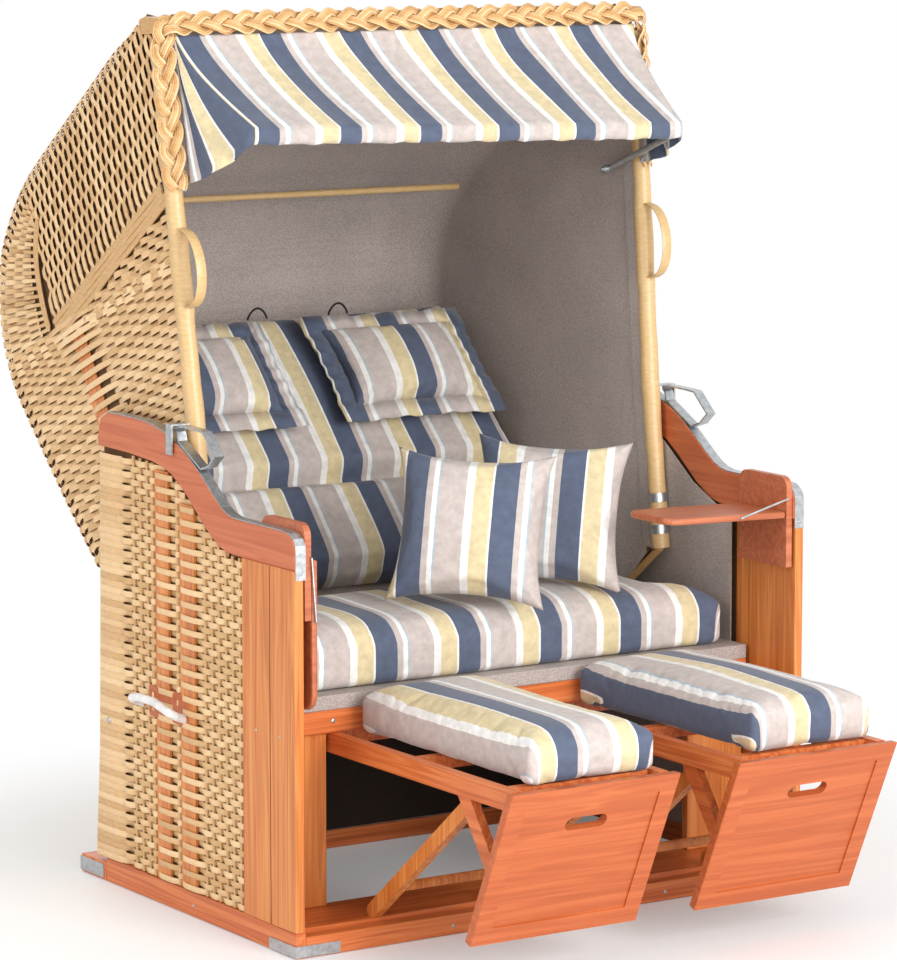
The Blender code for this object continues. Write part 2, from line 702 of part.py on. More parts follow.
def panel_cutters(mid, group, out, slope):
    """The sunk field inside the mitred rim, and the oval grip hole."""
    (ty, tz), (ly, lz) = PANEL_TOP_YZ, PANEL_LOW_YZ
    long = math.hypot(ly - ty, tz - lz)
    down = ((ly - ty) / long, (lz - tz) / long)
    proud = OVERRUN
    corners = []
    for along, depth in ((PANEL_RIM, proud), (long - PANEL_RIM, proud), (long - PANEL_RIM, -PANEL_SINK),
                         (PANEL_RIM, -PANEL_SINK)):
        corners.append((ty + down[0] * along + out[0] * depth, tz + down[1] * along + out[1] * depth))
    half = PANEL_W / 2 - PANEL_RIM
    field = prism("field", corners, "x", mid - half, mid + half, "wood", group)
    at = (tz - PANEL_SLOT_Z) * math.hypot(slope, 1.0)
    centre = Vector((mid, ty + down[0] * at, tz + down[1] * at))
    normal = Vector((0.0, out[0], out[1]))
    along = Vector((0.0, down[0], down[1]))
    r = PANEL_SLOT_H / 2
    reach = PANEL_SLOT_L / 2 - r
    ring = []
    for i in range(20):
        turn = 2 * math.pi * (i + 0.5) / 20
        push = reach if math.cos(turn) > 0 else -reach
        ring.append(centre + Vector((push + r * math.cos(turn), 0.0, 0.0)) + along * r * math.sin(turn))
    count = len(ring)
    points = [p + normal * OVERRUN for p in ring] + [p - normal * (PANEL_T + OVERRUN) for p in ring]
    faces = [list(range(count)), list(range(2 * count - 1, count - 1, -1))]
    for i in range(count):
        j = (i + 1) % count
        faces.append([i, j, count + j, count + i])
    slot = solid("slot", points, faces, "wood", group)
    return [field, slot]


def add_footrest_frame(side, sign, group, behind):
    z0, z1 = FRAIL_Z
    rail = [(behind(z0), z0), (FRAIL_BACK_Y, z0), (FRAIL_BACK_Y, z1), (behind(z1), z1)]
    outer = (FRAIL_OUT_X - FRAIL_T, FRAIL_OUT_X)
    inner = (FRAIL_IN_X, FRAIL_IN_X + FRAIL_T)
    frame = prism(f"footrest_frame_{side}", rail, "x", sign * outer[0], sign * outer[1], "wood", group)
    second = prism("second", rail, "x", sign * inner[0], sign * inner[1], "wood", group)
    parts = [second]
    places = ((CROSS_FRONT_Y, CROSS_DROP), (CROSS_MID_Y, CROSS_DROP), (CROSS_REAR_AT, CROSS_REAR_DROP))
    for y, drop in places:
        parts.append(block("cross", (sign * (inner[1] - FUSE_IN), sign * (outer[0] + FUSE_IN)),
                           (y, y + CROSS_T), (z0 + drop, z1 - CROSS_TOP_INSET), "wood", group))
    for xs in (outer, inner):
        inset = FUSE_IN / 4
        xs = (sign * (xs[0] + inset), sign * (xs[1] - inset))
        parts.append(prism("brace", BRACE_YZ, "x", xs[0], xs[1], "wood", group))
    combine(frame, parts, "UNION")


def add_strut(side, sign, group):
    """The prop under a footrest: two legs joined by a round bar, its foot on the front sill."""
    (ty, tz), (fy, fz) = STRUT_TOP_YZ, STRUT_FOOT_YZ
    ahead = math.atan2(fz - tz, fy - ty)
    r = STRUT_W / 2
    outline = []
    for centre, start in (((ty, tz), ahead + math.pi / 2), ((fy, fz), ahead - math.pi / 2)):
        for i in range(9):
            turn = start + math.pi * i / 8
            outline.append((centre[0] + r * math.cos(turn), centre[1] + r * math.sin(turn)))
    x_out = FRAIL_OUT_X - FRAIL_T - GAP
    x_in = FRAIL_IN_X + FRAIL_T + GAP
    leg = prism(f"footrest_strut_{side}", outline, "x", sign * (x_out - STRUT_T), sign * x_out, "wood", group)
    other = prism("other", outline, "x", sign * x_in, sign * (x_in + STRUT_T), "wood", group)
    at = (ty + (fy - ty) * STRUT_BAR_AT, tz + (fz - tz) * STRUT_BAR_AT)
    reach = (x_in + STRUT_T - FUSE_IN, x_out - STRUT_T + FUSE_IN)
    bar = cylinder("bar", at, STRUT_BAR_R, "x", sign * reach[0], sign * reach[1], "wood", group, sides=12)
    combine(leg, [other, bar], "UNION")
    level = RAIL_H + GAP
    trim = block("trim", (sign * FRAIL_IN_X, sign * FRAIL_OUT_X), (SILL_STEP_Y - SILL_D, SILL_D),
                 (level - OVERRUN * 3, level), "wood", group)
    combine(leg, [trim], "DIFFERENCE")


# hood
def post_front(z):
    """Depth of the front face of a hood post at one height."""
    (y0, z0), (y1, z1) = POST_LOW_YZ, POST_TOP_YZ
    return y0 + (z - z0) * (y1 - y0) / (z1 - z0)


def hood_outline(offset):
    """The side view of the hood, its top and back pushed out by the offset."""
    moved = shifted_path(HOOD_BACK_YZ, 1.0)
    back = []
    for (y, z), (ny, nz), share in zip(HOOD_BACK_YZ, moved, HOOD_BACK_SHARES):
        back.append((y + (ny - y) * offset * share, z + (nz - z) * offset * share))
    return back


def loft(name, stations, slot, group):
    """A closed body through the same outline drawn at several x places."""
    count = len(stations[0][1])
    points, faces = [], []
    for x, outline in stations:
        points += [(x, y, z) for y, z in outline]
    for i in range(len(stations) - 1):
        for j in range(count):
            k = (j + 1) % count
            faces.append([i * count + j, i * count + k, (i + 1) * count + k, (i + 1) * count + j])
    faces.append(list(range(count)))
    last = (len(stations) - 1) * count
    faces.append([last + j for j in range(count - 1, -1, -1)])
    return solid(name, points, faces, slot, group)


def hood_stations(half, radius, thin, closing):
    """x places and outlines across the hood; the two rear edges are rounded in plan."""
    right = []
    for i in range(SHELL_STEPS + 1):
        turn = math.pi / 2 * i / SHELL_STEPS
        x = half - radius + radius * math.cos(turn)
        offset = SHELL_IN_D + SHELL_ROUND_R * math.sin(turn)
        right.append((x, hood_outline(offset - thin) + closing))
    left = [(-x, outline) for x, outline in right]
    return left + right[::-1]


def add_hood_shell():
    bottom = post_front(POST_LOW_YZ[1]) + POST_D + GAP
    top = post_front(TOP_RAIL_Z) + POST_D + GAP
    outer_close = HOOD_FLOOR_YZ + [(bottom + POST_FILLET, POST_LOW_YZ[1]), (top, TOP_RAIL_Z - GAP),
                                   (HOOD_BACK_YZ[0][0], TOP_RAIL_Z - GAP)]
    shell = loft("hood_shell", hood_stations(HOOD_X, SHELL_ROUND_R, 0.0, outer_close), "wicker", "hood")
    end = HOOD_BACK_YZ[-1]
    inner_close = [(end[0], CUT_LOW_Z), (CUT_FRONT_Y, CUT_LOW_Z), (CUT_FRONT_Y, HOOD_BACK_YZ[0][1] - SHELL_T)]
    hollow = loft("hollow", hood_stations(HOOD_X - SHELL_T, SHELL_ROUND_R - SHELL_T, SHELL_T, inner_close),
                  "wicker", "hood")
    holes = cylinder("holes", (PIVOT_Y, PIVOT_Z), PIN_HOLE_R, "x", -HALF_W, HALF_W, "wicker", "hood")
    ladders = []
    for side, sign in SIDES:
        ladders.append(prism("ladder", LADDER_YZ, "x", sign * (HOOD_X - LADDER_SINK),
                             sign * (HOOD_X + OVERRUN), "wicker", "hood"))
    combine(shell, [hollow, holes] + ladders, "DIFFERENCE")
    ridges = []
    for side, sign in SIDES:
        ridges.append(prism("ridge", RIDGE_YZ, "x", sign * (HOOD_X - FUSE_IN), sign * (HOOD_X + RIDGE_PROUD),
                            "wicker", "hood"))
    combine(shell, ridges, "UNION")
    flared(shell)
    for face in shell.data.polygons:
        face.use_smooth = False


def add_hood_posts():
    (ly, lz) = POST_LOW_YZ
    outline = [(post_front(TOP_RAIL_Z - GAP), TOP_RAIL_Z - GAP), (post_front(FLARE_FROM_Z), FLARE_FROM_Z)]
    outline += [(ly, lz)]
    outline += POST_FOOT_YZ
    outline += [(ly + POST_D, lz), (post_front(FLARE_FROM_Z) + POST_D, FLARE_FROM_Z),
                (post_front(TOP_RAIL_Z - GAP) + POST_D, TOP_RAIL_Z - GAP)]
    for side, sign in SIDES:
        post = prism(f"hood_post_{side}", outline, "x", sign * POST_IN_X, sign * POST_OUT_X, "wicker", "hood")
        flared(post)
        soften(post, TIMBER_ROUND * 2)
        path = [(sign * LOOP_X, y, z) for y, z in LOOP_YZ]
        loop = tube(f"loop_handle_{side}", path, LOOP_R, "wicker", "hood", sides=8)
        z0, z1 = LOOP_CUT_Z
        face = [(post_front(z0) - GAP, z0), (post_front(z1) - GAP, z1), (post_front(z1) + POST_D, z1),
                (post_front(z1) + POST_D, z0)]
        trim = prism("trim", face, "x", sign * POST_IN_X, sign * HALF_W, "wicker", "hood")
        combine(loop, [trim], "DIFFERENCE")
    outline = rounded_plate((TOP_RAIL_Y[0], TOP_RAIL_Z), (TOP_RAIL_Y[1], HEIGHT), TOP_RAIL_ROUND, {2, 3})
    end = TOP_RAIL_X * (1 + FLARE)
    prism("hood_top_rail", outline, "x", -end, end, "wicker", "hood")


def add_backrest():
    prism("backrest_board", REST_BOARD_YZ, "x", -REST_BOARD_X, REST_BOARD_X, "grey_fabric", "hood")


def add_pins():
    """The bolts the hood turns on, fixed to the side panels."""
    for side, sign in SIDES:
        head_x = HOOD_X - SHELL_T - GAP
        pin = cylinder(f"pivot_pin_{side}", (PIVOT_Y, PIVOT_Z), PIN_R, "x", sign * (PANEL_IN_X - GAP),
                       sign * (head_x - PIN_HEAD_T / 2), "steel")
        head = cylinder("head", (PIVOT_Y, PIVOT_Z), PIN_HEAD_R, "x", sign * head_x,
                        sign * (head_x - PIN_HEAD_T), "steel")
        combine(pin, [head], "UNION")


# latches
def add_latches():
    for side, sign in SIDES:
        near = POST_OUT_X * flare_at(BRACKET_TOP_Z) + BRACKET_OFF
        t = BRACKET_T
        outline = [(near, BRACKET_TOP_Z), (near, BRACKET_BEND_Z), (BRACKET_OUT_X, BRACKET_BEND_Z),
                   (BRACKET_OUT_X, BRACKET_END_Z), (BRACKET_OUT_X + t, BRACKET_END_Z),
                   (BRACKET_OUT_X + t, BRACKET_BEND_Z + t), (near + t, BRACKET_BEND_Z + t),
                   (near + t, BRACKET_TOP_Z)]
        outline = [(sign * x, z) for x, z in outline]
        prism(f"latch_bracket_{side}", outline, "y", BRACKET_Y[0], BRACKET_Y[1], "steel", "hood")
        group = f"latch_{side}_joint"
        add_group(group, (sign * sum(LATCH_X) / 2, LATCH_PIVOT_YZ[0], LATCH_PIVOT_YZ[1]), "hood")
        ring = prism(f"latch_loop_{side}", LATCH_YZ, "x", sign * LATCH_X[0], sign * LATCH_X[1], "steel",
                     group)
        inside = shifted_path(LATCH_YZ + LATCH_YZ[:2], LATCH_T)[1:-1]
        beyond = (sign * (LATCH_X[0] - OVERRUN), sign * (LATCH_X[1] + OVERRUN))
        hole = prism("hole", inside, "x", beyond[0], beyond[1], "steel", group)
        combine(ring, [hole], "DIFFERENCE")


# awning
def add_awning():
    add_group("awning_joint", (0.0, AWN_PIVOT_YZ[0], AWN_PIVOT_YZ[1]), "hood")
    (py, pz), (by, bz) = AWN_PIVOT_YZ, AWN_BAR_YZ
    ahead = math.atan2(bz - pz, by - py)
    r = AWN_ARM_W / 2
    outline = []
    for centre, start in (((py, pz), ahead + math.pi / 2), ((by, bz), ahead - math.pi / 2)):
        for i in range(9):
            turn = start + math.pi * i / 8
            outline.append((centre[0] + r * math.cos(turn), centre[1] + r * math.sin(turn)))
    frame = cylinder("awning_frame", AWN_BAR_YZ, AWN_BAR_R, "x", -AWN_BAR_X, AWN_BAR_X, "steel",
                     "awning_joint", sides=12)
    parts = []
    for side, sign in SIDES:
        x0, x1 = AWN_ARM_X
        parts.append(prism("arm", outline, "x", sign * x0, sign * x1, "steel", "awning_joint"))
        parts.append(cylinder("knob", AWN_PIVOT_YZ, AWN_KNOB_R, "x", sign * (x0 - AWN_KNOB_T),
                              sign * (x0 + AWN_ARM_W / 6), "steel", "awning_joint", sides=14))
        parts.append(cylinder("stub", AWN_PIVOT_YZ, AWN_STUB_R, "x", sign * (x1 - AWN_ARM_W / 6),
                              sign * AWN_STUB_X, "steel", "awning_joint", sides=10))
    combine(frame, parts, "UNION")


def add_awning_cloth():
    """The striped cloth from under the top rail to the bar, with a gusset down each side."""
    nu, nv = CLOTH_CELLS
    (ty, tz), (by, bz), (hy, hz) = CLOTH_TOP_YZ, CLOTH_BAR_YZ, CLOTH_HEM_YZ
    points, faces = [], []
    for j in range(nv + 1):
        v = j / nv
        if j < nv:
            w = j / (nv - 1)
            y = ty + (by - ty) * w
            z = tz + (bz - tz) * w - CLOTH_SAG * math.sin(math.pi * w)
            half = CLOTH_TOP_X + (CLOTH_BAR_X - CLOTH_TOP_X) * w
            swing = math.sin(math.pi * w)
        else:
            y, z, half, swing = hy, hz, CLOTH_BAR_X, 0.0
        for i in range(nu + 1):
            u = 2 * i / nu - 1
            crease = math.cos(CLOTH_CREASE_TURNS[0] * u + CLOTH_CREASE_TURNS[1] * v)
            fold = math.sin(CLOTH_FOLDS * math.pi * u) + CLOTH_CREASE_SHARE * crease
            fold *= CLOTH_FOLD * swing * CLOTH_FOLD_LEAN
            points.append((half * u, y - fold, z + fold))
    for j in range(nv):
        for i in range(nu):
            a = j * (nu + 1) + i
            faces.append([a, a + 1, a + nu + 2, a + nu + 1])
    gy, gz = GUSSET_YZ
    for column in (0, nu):
        sign = -1 if column == 0 else 1
        tip = len(points)
        points.append((sign * (POST_IN_X + POST_OUT_X) / 2 * flare_at(gz), gy, gz))
        for j in range(nv):
            a = j * (nu + 1) + column
            faces.append([a, a + nu + 1, tip])
    cloth = solid("awning_cloth", points, faces, "stripe_fabric", "hood", smooth=True)
    thick = cloth.modifiers.new("thick", "SOLIDIFY")
    thick.thickness = CLOTH_T
    thick.offset = 0.0
    bake(cloth)


# cushions
def cushion(name, place, half, thick, rim, cells, slot="stripe_fabric", group="root", belly=1.0, ear=0.0,
            creases=(), power=4.0, bulge=CUSHION_BULGE, half_at=None, tufts=(), puff=0.0):
    """A padded body in its own frame: a across, b along, c through the middle of its rim.

    The top rises from the rim to the crown, the sides bulge at half height, ear draws the middle of the
    sides in so that the corners stand out, and creases are (b share, depth, width share) channels.
    """
    na, nb = cells
    half_a, half_b = half

    def at(i, j, rise):
        u, v = 2 * i / na - 1, 2 * j / nb - 1
        wide = half_at(v) if half_at else half_a
        x = wide * u * (1 + ear * (v * v - 1))
        y = half_b * v * (1 + ear * (u * u - 1))
        corner = max(0.0, abs(u) + abs(v) - SOFT_CORNER_FROM_SHARE) / (2 - SOFT_CORNER_FROM_SHARE)
        x -= math.copysign(SOFT_CORNER * corner * corner, u)
        y -= math.copysign(SOFT_CORNER * corner * corner, v)
        dome = (1 - abs(u) ** power) * (1 - abs(v) ** power)
        dome = dome ** 0.5 if rise > 0 else dome ** 0.5 * belly
        high = rim / 2 + (thick - rim) * (1.0 if belly == 0.0 else CROWN_SHARE) * dome
        if rise > 0:
            for share, depth, width in creases:
                high -= depth * math.exp(-(((v - share) / width) ** 2)) * dome ** 0.5
            for tu, tv, depth in tufts:
                far = ((u - tu) / TUFT_SHARES[0]) ** 2 + ((v - tv) / TUFT_SHARES[1]) ** 2
                high -= depth * math.exp(-far)
            (ku, su), (kv, sv) = PUFF_TURNS
            high += puff * math.sin(ku * u + su) * math.sin(kv * v + sv) * dome
        return Vector((x, y, high * rise))

    points = [at(i, j, 1) for j in range(nb + 1) for i in range(na + 1)]
    lower = len(points)
    points += [at(i, j, -1) for j in range(nb + 1) for i in range(na + 1)]

    def index(i, j):
        return j * (na + 1) + i

    faces = []
    for j in range(nb):
        for i in range(na):
            quad = [index(i, j), index(i + 1, j), index(i + 1, j + 1), index(i, j + 1)]
            faces.append(quad)
            faces.append([lower + k for k in quad[::-1]])
    around = [index(i, 0) for i in range(na)] + [index(na, j) for j in range(nb)]
    around += [index(i, nb) for i in range(na, 0, -1)] + [index(0, j) for j in range(nb, 0, -1)]
    middle = len(points)
    for k in around:
        top_point = points[k]
        out = Vector((top_point.x / half_a, top_point.y / half_b, 0.0))
        out = Vector((out.x if abs(out.x) > 0.9 else 0.0, out.y if abs(out.y) > 0.9 else 0.0, 0.0))
        if out.length > 0:
            out.normalize()
        points.append(Vector((top_point.x, top_point.y, 0.0)) + out * bulge)
    total = len(around)
    for n in range(total):
        m = (n + 1) % total
        faces.append([around[n], around[m], middle + m, middle + n])
        faces.append([middle + n, middle + m, lower + around[m], lower + around[n]])
    return solid(name, [place @ p for p in points], faces, slot, group, smooth=True)


def add_seat_cushion():
    y0, y1 = SEAT_CUSHION_Y
    mid, half_b = (y0 + y1) / 2, (y1 - y0) / 2
    n0, n1 = SEAT_NARROWS_Y

    def half_at(v):
        y = mid + v * half_b
        share = min(max((y - n0) / (n1 - n0), 0.0), 1.0)
        return SEAT_CUSHION_HALF + (SEAT_CUSHION_REAR_HALF - SEAT_CUSHION_HALF) * share

    place = Matrix.Translation((0.0, mid, SEAT_TOP_Z + GAP + SEAT_CUSHION_RIM / 2))
    half = (SEAT_CUSHION_HALF - CUSHION_BULGE, half_b - CUSHION_BULGE)
    cushion("seat_cushion", place, half, SEAT_CUSHION_TOP, SEAT_CUSHION_RIM, (20, 12), belly=0.0, power=5.0,
            half_at=lambda v: half_at(v) - CUSHION_BULGE, tufts=SEAT_TUFTS, puff=PUFF_FULL)


def back_frame():
    """Where the back cushion lies: origin on the backrest board above its lower end, b up the slope."""
    lower, upper = REST_BOARD_YZ[3], REST_BOARD_YZ[2]
    along = Vector((0.0, upper[0] - lower[0], upper[1] - lower[1])).normalized()
    normal = Vector((0.0, -along.z, along.y))
    axes = Matrix((Vector((1.0, 0.0, 0.0)), along, normal)).transposed().to_4x4()
    return Matrix.Translation((0.0, lower[0], lower[1])) @ axes


def add_back_cushions():
    frame = back_frame()
    half = (REAR_CUSHION_X, REAR_CUSHION_LONG / 2)
    place = frame @ Matrix.Translation((0.0, REAR_CUSHION_LOW + half[1], REAR_CUSHION_RIM / 2 + GAP))
    crease = (REAR_CREASE_SHARE, REAR_CREASE_DEPTH, REAR_CREASE_WIDTH_SHARE)
    cushion("back_cushion", place, (half[0] - CUSHION_BULGE, half[1]), REAR_CUSHION_THICK, REAR_CUSHION_RIM,
            (20, 20), group="hood", belly=0.0, power=5.0, creases=(crease,), puff=PUFF_FLAT)
    for side, sign in SIDES:
        place = frame @ Matrix.Translation((sign * HEAD_X, HEAD_ALONG, HEAD_STANDS[side]))
        cushion(f"head_pillow_{side}", place, HEAD_HALF, HEAD_THICK, PILLOW_RIM, (14, 10), group="hood",
                ear=HEAD_EAR_SHARE, power=2.4, bulge=PILLOW_BULGE, puff=PUFF_FULL)


def add_loose_cushions():
    for name, where in (("throw_pillow_front", THROW_FRONT), ("throw_pillow_rear", THROW_REAR)):
        place = Matrix.Translation(where) @ Matrix.Rotation(math.radians(THROW_TURN_DEG), 4, "Z")
        place = place @ Matrix.Rotation(math.radians(THROW_LEAN_DEG), 4, "X")
        cushion(name, place, THROW_HALF, THROW_THICK, PILLOW_RIM, (12, 12), ear=THROW_EAR_SHARE, power=2.4,
                bulge=PILLOW_BULGE, puff=PUFF_FULL)
    for side, (x0, x1, y0, y1) in LEG_CUSHIONS.items():
        place = Matrix.Translation(((x0 + x1) / 2, (y0 + y1) / 2, FRAIL_Z[1] + GAP + LEG_RIM / 2))
        cushion(f"leg_cushion_{side}", place, ((x1 - x0) / 2, (y1 - y0) / 2), LEG_THICK, LEG_RIM, (10, 18),
                belly=0.0, power=4.0, puff=PUFF_FLAT)


add_base()
add_plates()
add_panels()
add_grips()
add_arms()
add_seat_frame()
add_tables()
add_footrests()
add_pins()
add_group("hood", (0.0, PIVOT_Y, PIVOT_Z))
add_hood_shell()
add_hood_posts()
add_backrest()
add_latches()
add_awning()
add_awning_cloth()
add_seat_cushion()
add_back_cushions()
add_loose_cushions()
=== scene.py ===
"""Looks of a hooded two-seat beach chair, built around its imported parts.

Depths are measured back from the front face of the side boards, heights up from the ground and widths
from the middle of the seat; at() turns such a place into the shared frame.
"""

import json
import math

import bmesh
import bpy
import numpy as np
from mathutils import Matrix, Vector

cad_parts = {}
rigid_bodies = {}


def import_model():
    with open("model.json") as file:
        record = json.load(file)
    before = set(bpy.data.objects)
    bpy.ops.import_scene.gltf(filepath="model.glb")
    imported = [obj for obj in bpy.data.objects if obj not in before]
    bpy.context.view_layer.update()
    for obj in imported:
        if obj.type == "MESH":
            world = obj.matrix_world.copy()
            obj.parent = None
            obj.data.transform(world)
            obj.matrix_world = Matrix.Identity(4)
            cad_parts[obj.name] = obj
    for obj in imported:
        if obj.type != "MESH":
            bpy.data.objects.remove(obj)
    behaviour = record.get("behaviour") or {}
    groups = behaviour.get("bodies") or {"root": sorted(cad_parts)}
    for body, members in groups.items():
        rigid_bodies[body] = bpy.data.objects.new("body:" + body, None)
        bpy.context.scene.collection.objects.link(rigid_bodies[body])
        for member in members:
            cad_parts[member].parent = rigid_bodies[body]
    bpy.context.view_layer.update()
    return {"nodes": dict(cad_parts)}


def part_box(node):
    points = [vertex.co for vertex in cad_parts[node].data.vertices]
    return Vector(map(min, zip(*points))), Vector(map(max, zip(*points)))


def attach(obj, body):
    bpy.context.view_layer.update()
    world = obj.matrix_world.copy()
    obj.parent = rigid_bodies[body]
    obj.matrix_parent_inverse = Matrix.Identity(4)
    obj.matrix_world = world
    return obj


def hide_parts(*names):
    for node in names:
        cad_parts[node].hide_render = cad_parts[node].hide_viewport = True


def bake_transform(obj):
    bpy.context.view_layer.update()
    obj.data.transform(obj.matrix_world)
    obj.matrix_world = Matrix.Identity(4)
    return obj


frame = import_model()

bl_info = {
    "name": "Hooded Beach Chair",
    "version": (1, 0, 0),
    "blender": (4, 5, 0),
    "location": "3D View > Sidebar > Beach Chair",
    "description": "Weaves, upholsters and finishes a hooded two-seat beach chair",
    "category": "Object",
}

FRONT_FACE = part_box("post_board_front_left")[0].y
SIDES = (("left", -1), ("right", 1))

# Side panels
HALF_WIDTH = 0.5435
PANEL_IN = 0.5172
PANEL_REAR = [(0.0443, 0.729), (0.250, 0.712), (0.550, 0.703), (0.813, 0.700)]
ARM_UNDER = [(0.205, 0.6765), (0.232, 0.6780), (0.263, 0.6860), (0.306, 0.7110), (0.365, 0.7560),
             (0.400, 0.7780), (0.431, 0.7930), (0.465, 0.8020), (0.498, 0.8070), (0.583, 0.8120),
             (0.697, 0.8130)]
ROW_PITCH = 0.0122

# Hood
HOOD_HALF = 0.505
HOOD_HEIGHT = 1.600
FLARE_FROM = 0.880
FLARE = 0.040
EDGE_ROUND = 0.080
EDGE_IN = -0.030
SHELL_WALL = 0.022
HOOD_PROFILE = [
    (0.5425, 1.598), (0.575, 1.585), (0.700, 1.499), (0.850, 1.396), (0.995, 1.296), (1.055, 1.250),
    (1.100, 1.204), (1.137, 1.150), (1.158, 1.104), (1.167, 1.045), (1.162, 0.979), (1.143, 0.920),
    (1.111, 0.868), (1.025, 0.783), (0.932, 0.697), (0.850, 0.624), (0.785, 0.567), (0.757, 0.515),
    (0.745, 0.452),
]
HOOD_SHARES = [0.0, 0.20] + [1.0] * 17
POST_LOW = (0.363, 0.563)
POST_TOP = (0.492, 1.600)
POST_DEPTH = 0.050
# middle of the round cane in front of each post, and its radius
CANE_LINE = 0.4965
CANE_RADIUS = 0.0172
RIDGE = ((0.497, 1.283), (0.915, 1.007))
RIDGE_WIDTH = 0.044
UPPER_LEAN = Vector((0.40, 0.917)).normalized()
LOWER_LEAN = Vector((-0.925, 0.380)).normalized()


def at(x, y, z):
    """A place given by its depth behind the front face, in the shared frame."""
    return Vector((x, y + FRONT_FACE, z))


def linear(code, alpha=1.0):
    """A linear colour from an sRGB hex value."""
    parts = [int(code[i:i + 2], 16) / 255 for i in (1, 3, 5)]
    parts = [c / 12.92 if c <= 0.04045 else ((c + 0.055) / 1.055) ** 2.4 for c in parts]
    return (*parts, alpha)


def node(tree, kind, settings=None, inputs=None):
    """Adds one node, sets its fields and fills or links its sockets."""
    made = tree.nodes.new(kind)
    for field, value in (settings or {}).items():
        setattr(made, field, value)
    for key, value in (inputs or {}).items():
        if isinstance(value, bpy.types.NodeSocket):
            tree.links.new(value, made.inputs[key])
        else:
            made.inputs[key].default_value = value
    return made


def ramp(tree, factor, stops, interpolation="LINEAR"):
    """A colour ramp through (position, hex) stops."""
    made = node(tree, "ShaderNodeValToRGB", inputs={"Fac": factor})
    band = made.color_ramp
    band.interpolation = interpolation
    while len(band.elements) < len(stops):
        band.elements.new(1.0)
    for element, (position, code) in zip(band.elements, stops):
        element.position = position
        element.color = linear(code)
    return made.outputs["Color"]


def mixed(tree, factor, first, second, blend="MIX"):
    """Two colours mixed."""
    made = node(tree, "ShaderNodeMix", {"data_type": "RGBA", "blend_type": blend},
                {0: factor, 6: first, 7: second})
    return made.outputs[2]


def maths(tree, operation, first, second=0.0, third=0.5):
    return node(tree, "ShaderNodeMath", {"operation": operation}, {0: first, 1: second, 2: third}).outputs[0]


def blank_material(name):
    """A material with its Principled shader, and its tree."""
    made = bpy.data.materials.new(name)
    made.use_nodes = True
    return made, made.node_tree, made.node_tree.nodes["Principled BSDF"]


def scaled_place(tree, scale):
    """Coordinates stretched per axis."""
    place = node(tree, "ShaderNodeTexCoord").outputs["Object"]
    return node(tree, "ShaderNodeMapping", inputs={"Vector": place, "Scale": scale}).outputs["Vector"]


def noise(tree, stretch, detail, roughness=0.5, distortion=0.0):
    """Random mottling; stretch gives its scale to the metre on each axis."""
    return node(tree, "ShaderNodeTexNoise", inputs={
        "Vector": scaled_place(tree, stretch), "Scale": 1.0, "Detail": detail, "Roughness": roughness,
        "Distortion": distortion}).outputs["Fac"]


def bumped(tree, shader, height, strength, distance):
    """A shallow relief on the shader."""
    bump = node(tree, "ShaderNodeBump", inputs={"Strength": strength, "Distance": distance, "Height": height})
    tree.links.new(bump.outputs["Normal"], shader.inputs["Normal"])


def roughened(tree, shader, factor, roughness):
    """Roughness that varies a little about one value."""
    rough = node(tree, "ShaderNodeMapRange", inputs={
        "Value": factor, "To Min": roughness - 0.08, "To Max": roughness + 0.12})
    tree.links.new(rough.outputs["Result"], shader.inputs["Roughness"])


def stained_timber(name, along, dark, middle, light):
    """Planed softwood under a tinted glaze: fibres run along one axis, with broad figure and fine pores."""
    made, tree, shader = blank_material(name)
    fine = [90.0, 90.0, 90.0]
    broad = [22.0, 22.0, 22.0]
    fine[along] = 2.2
    broad[along] = 0.9
    fibre = noise(tree, fine, 5.0, 0.62, 0.25)
    figure = noise(tree, broad, 3.0, 0.5, 1.1)
    rings = maths(tree, "SINE", maths(tree, "MULTIPLY", figure, 42.0))
    grain = maths(tree, "MULTIPLY_ADD", rings, 0.09, 0.125)
    blend = maths(tree, "ADD", maths(tree, "MULTIPLY", fibre, 0.75), grain)
    colour = ramp(tree, blend, [(0.30, dark), (0.48, middle), (0.68, light)])
    tree.links.new(colour, shader.inputs["Base Color"])
    roughened(tree, shader, fibre, 0.42)
    bumped(tree, shader, fibre, 0.12, 0.0006)
    shader.inputs["Coat Weight"].default_value = 0.12
    shader.inputs["Coat Roughness"].default_value = 0.30
    return made


def woven_strip(name, dark, middle, light, roughness=0.42):
    """Extruded plastic cane strip: satin, each strand a slightly different tan, faint drawn lines."""
    made, tree, shader = blank_material(name)
    tone = node(tree, "ShaderNodeAttribute", {"attribute_name": "tone"}).outputs["Fac"]
    speck = noise(tree, (70.0, 70.0, 220.0), 3.0, 0.6)
    blend = maths(tree, "ADD", maths(tree, "MULTIPLY", tone, 0.55), maths(tree, "MULTIPLY", speck, 0.5))
    colour = ramp(tree, blend, [(0.18, dark), (0.50, middle), (0.85, light)])
    tree.links.new(colour, shader.inputs["Base Color"])
    shader.inputs["Roughness"].default_value = roughness
    bumped(tree, shader, speck, 0.15, 0.0004)
    return made


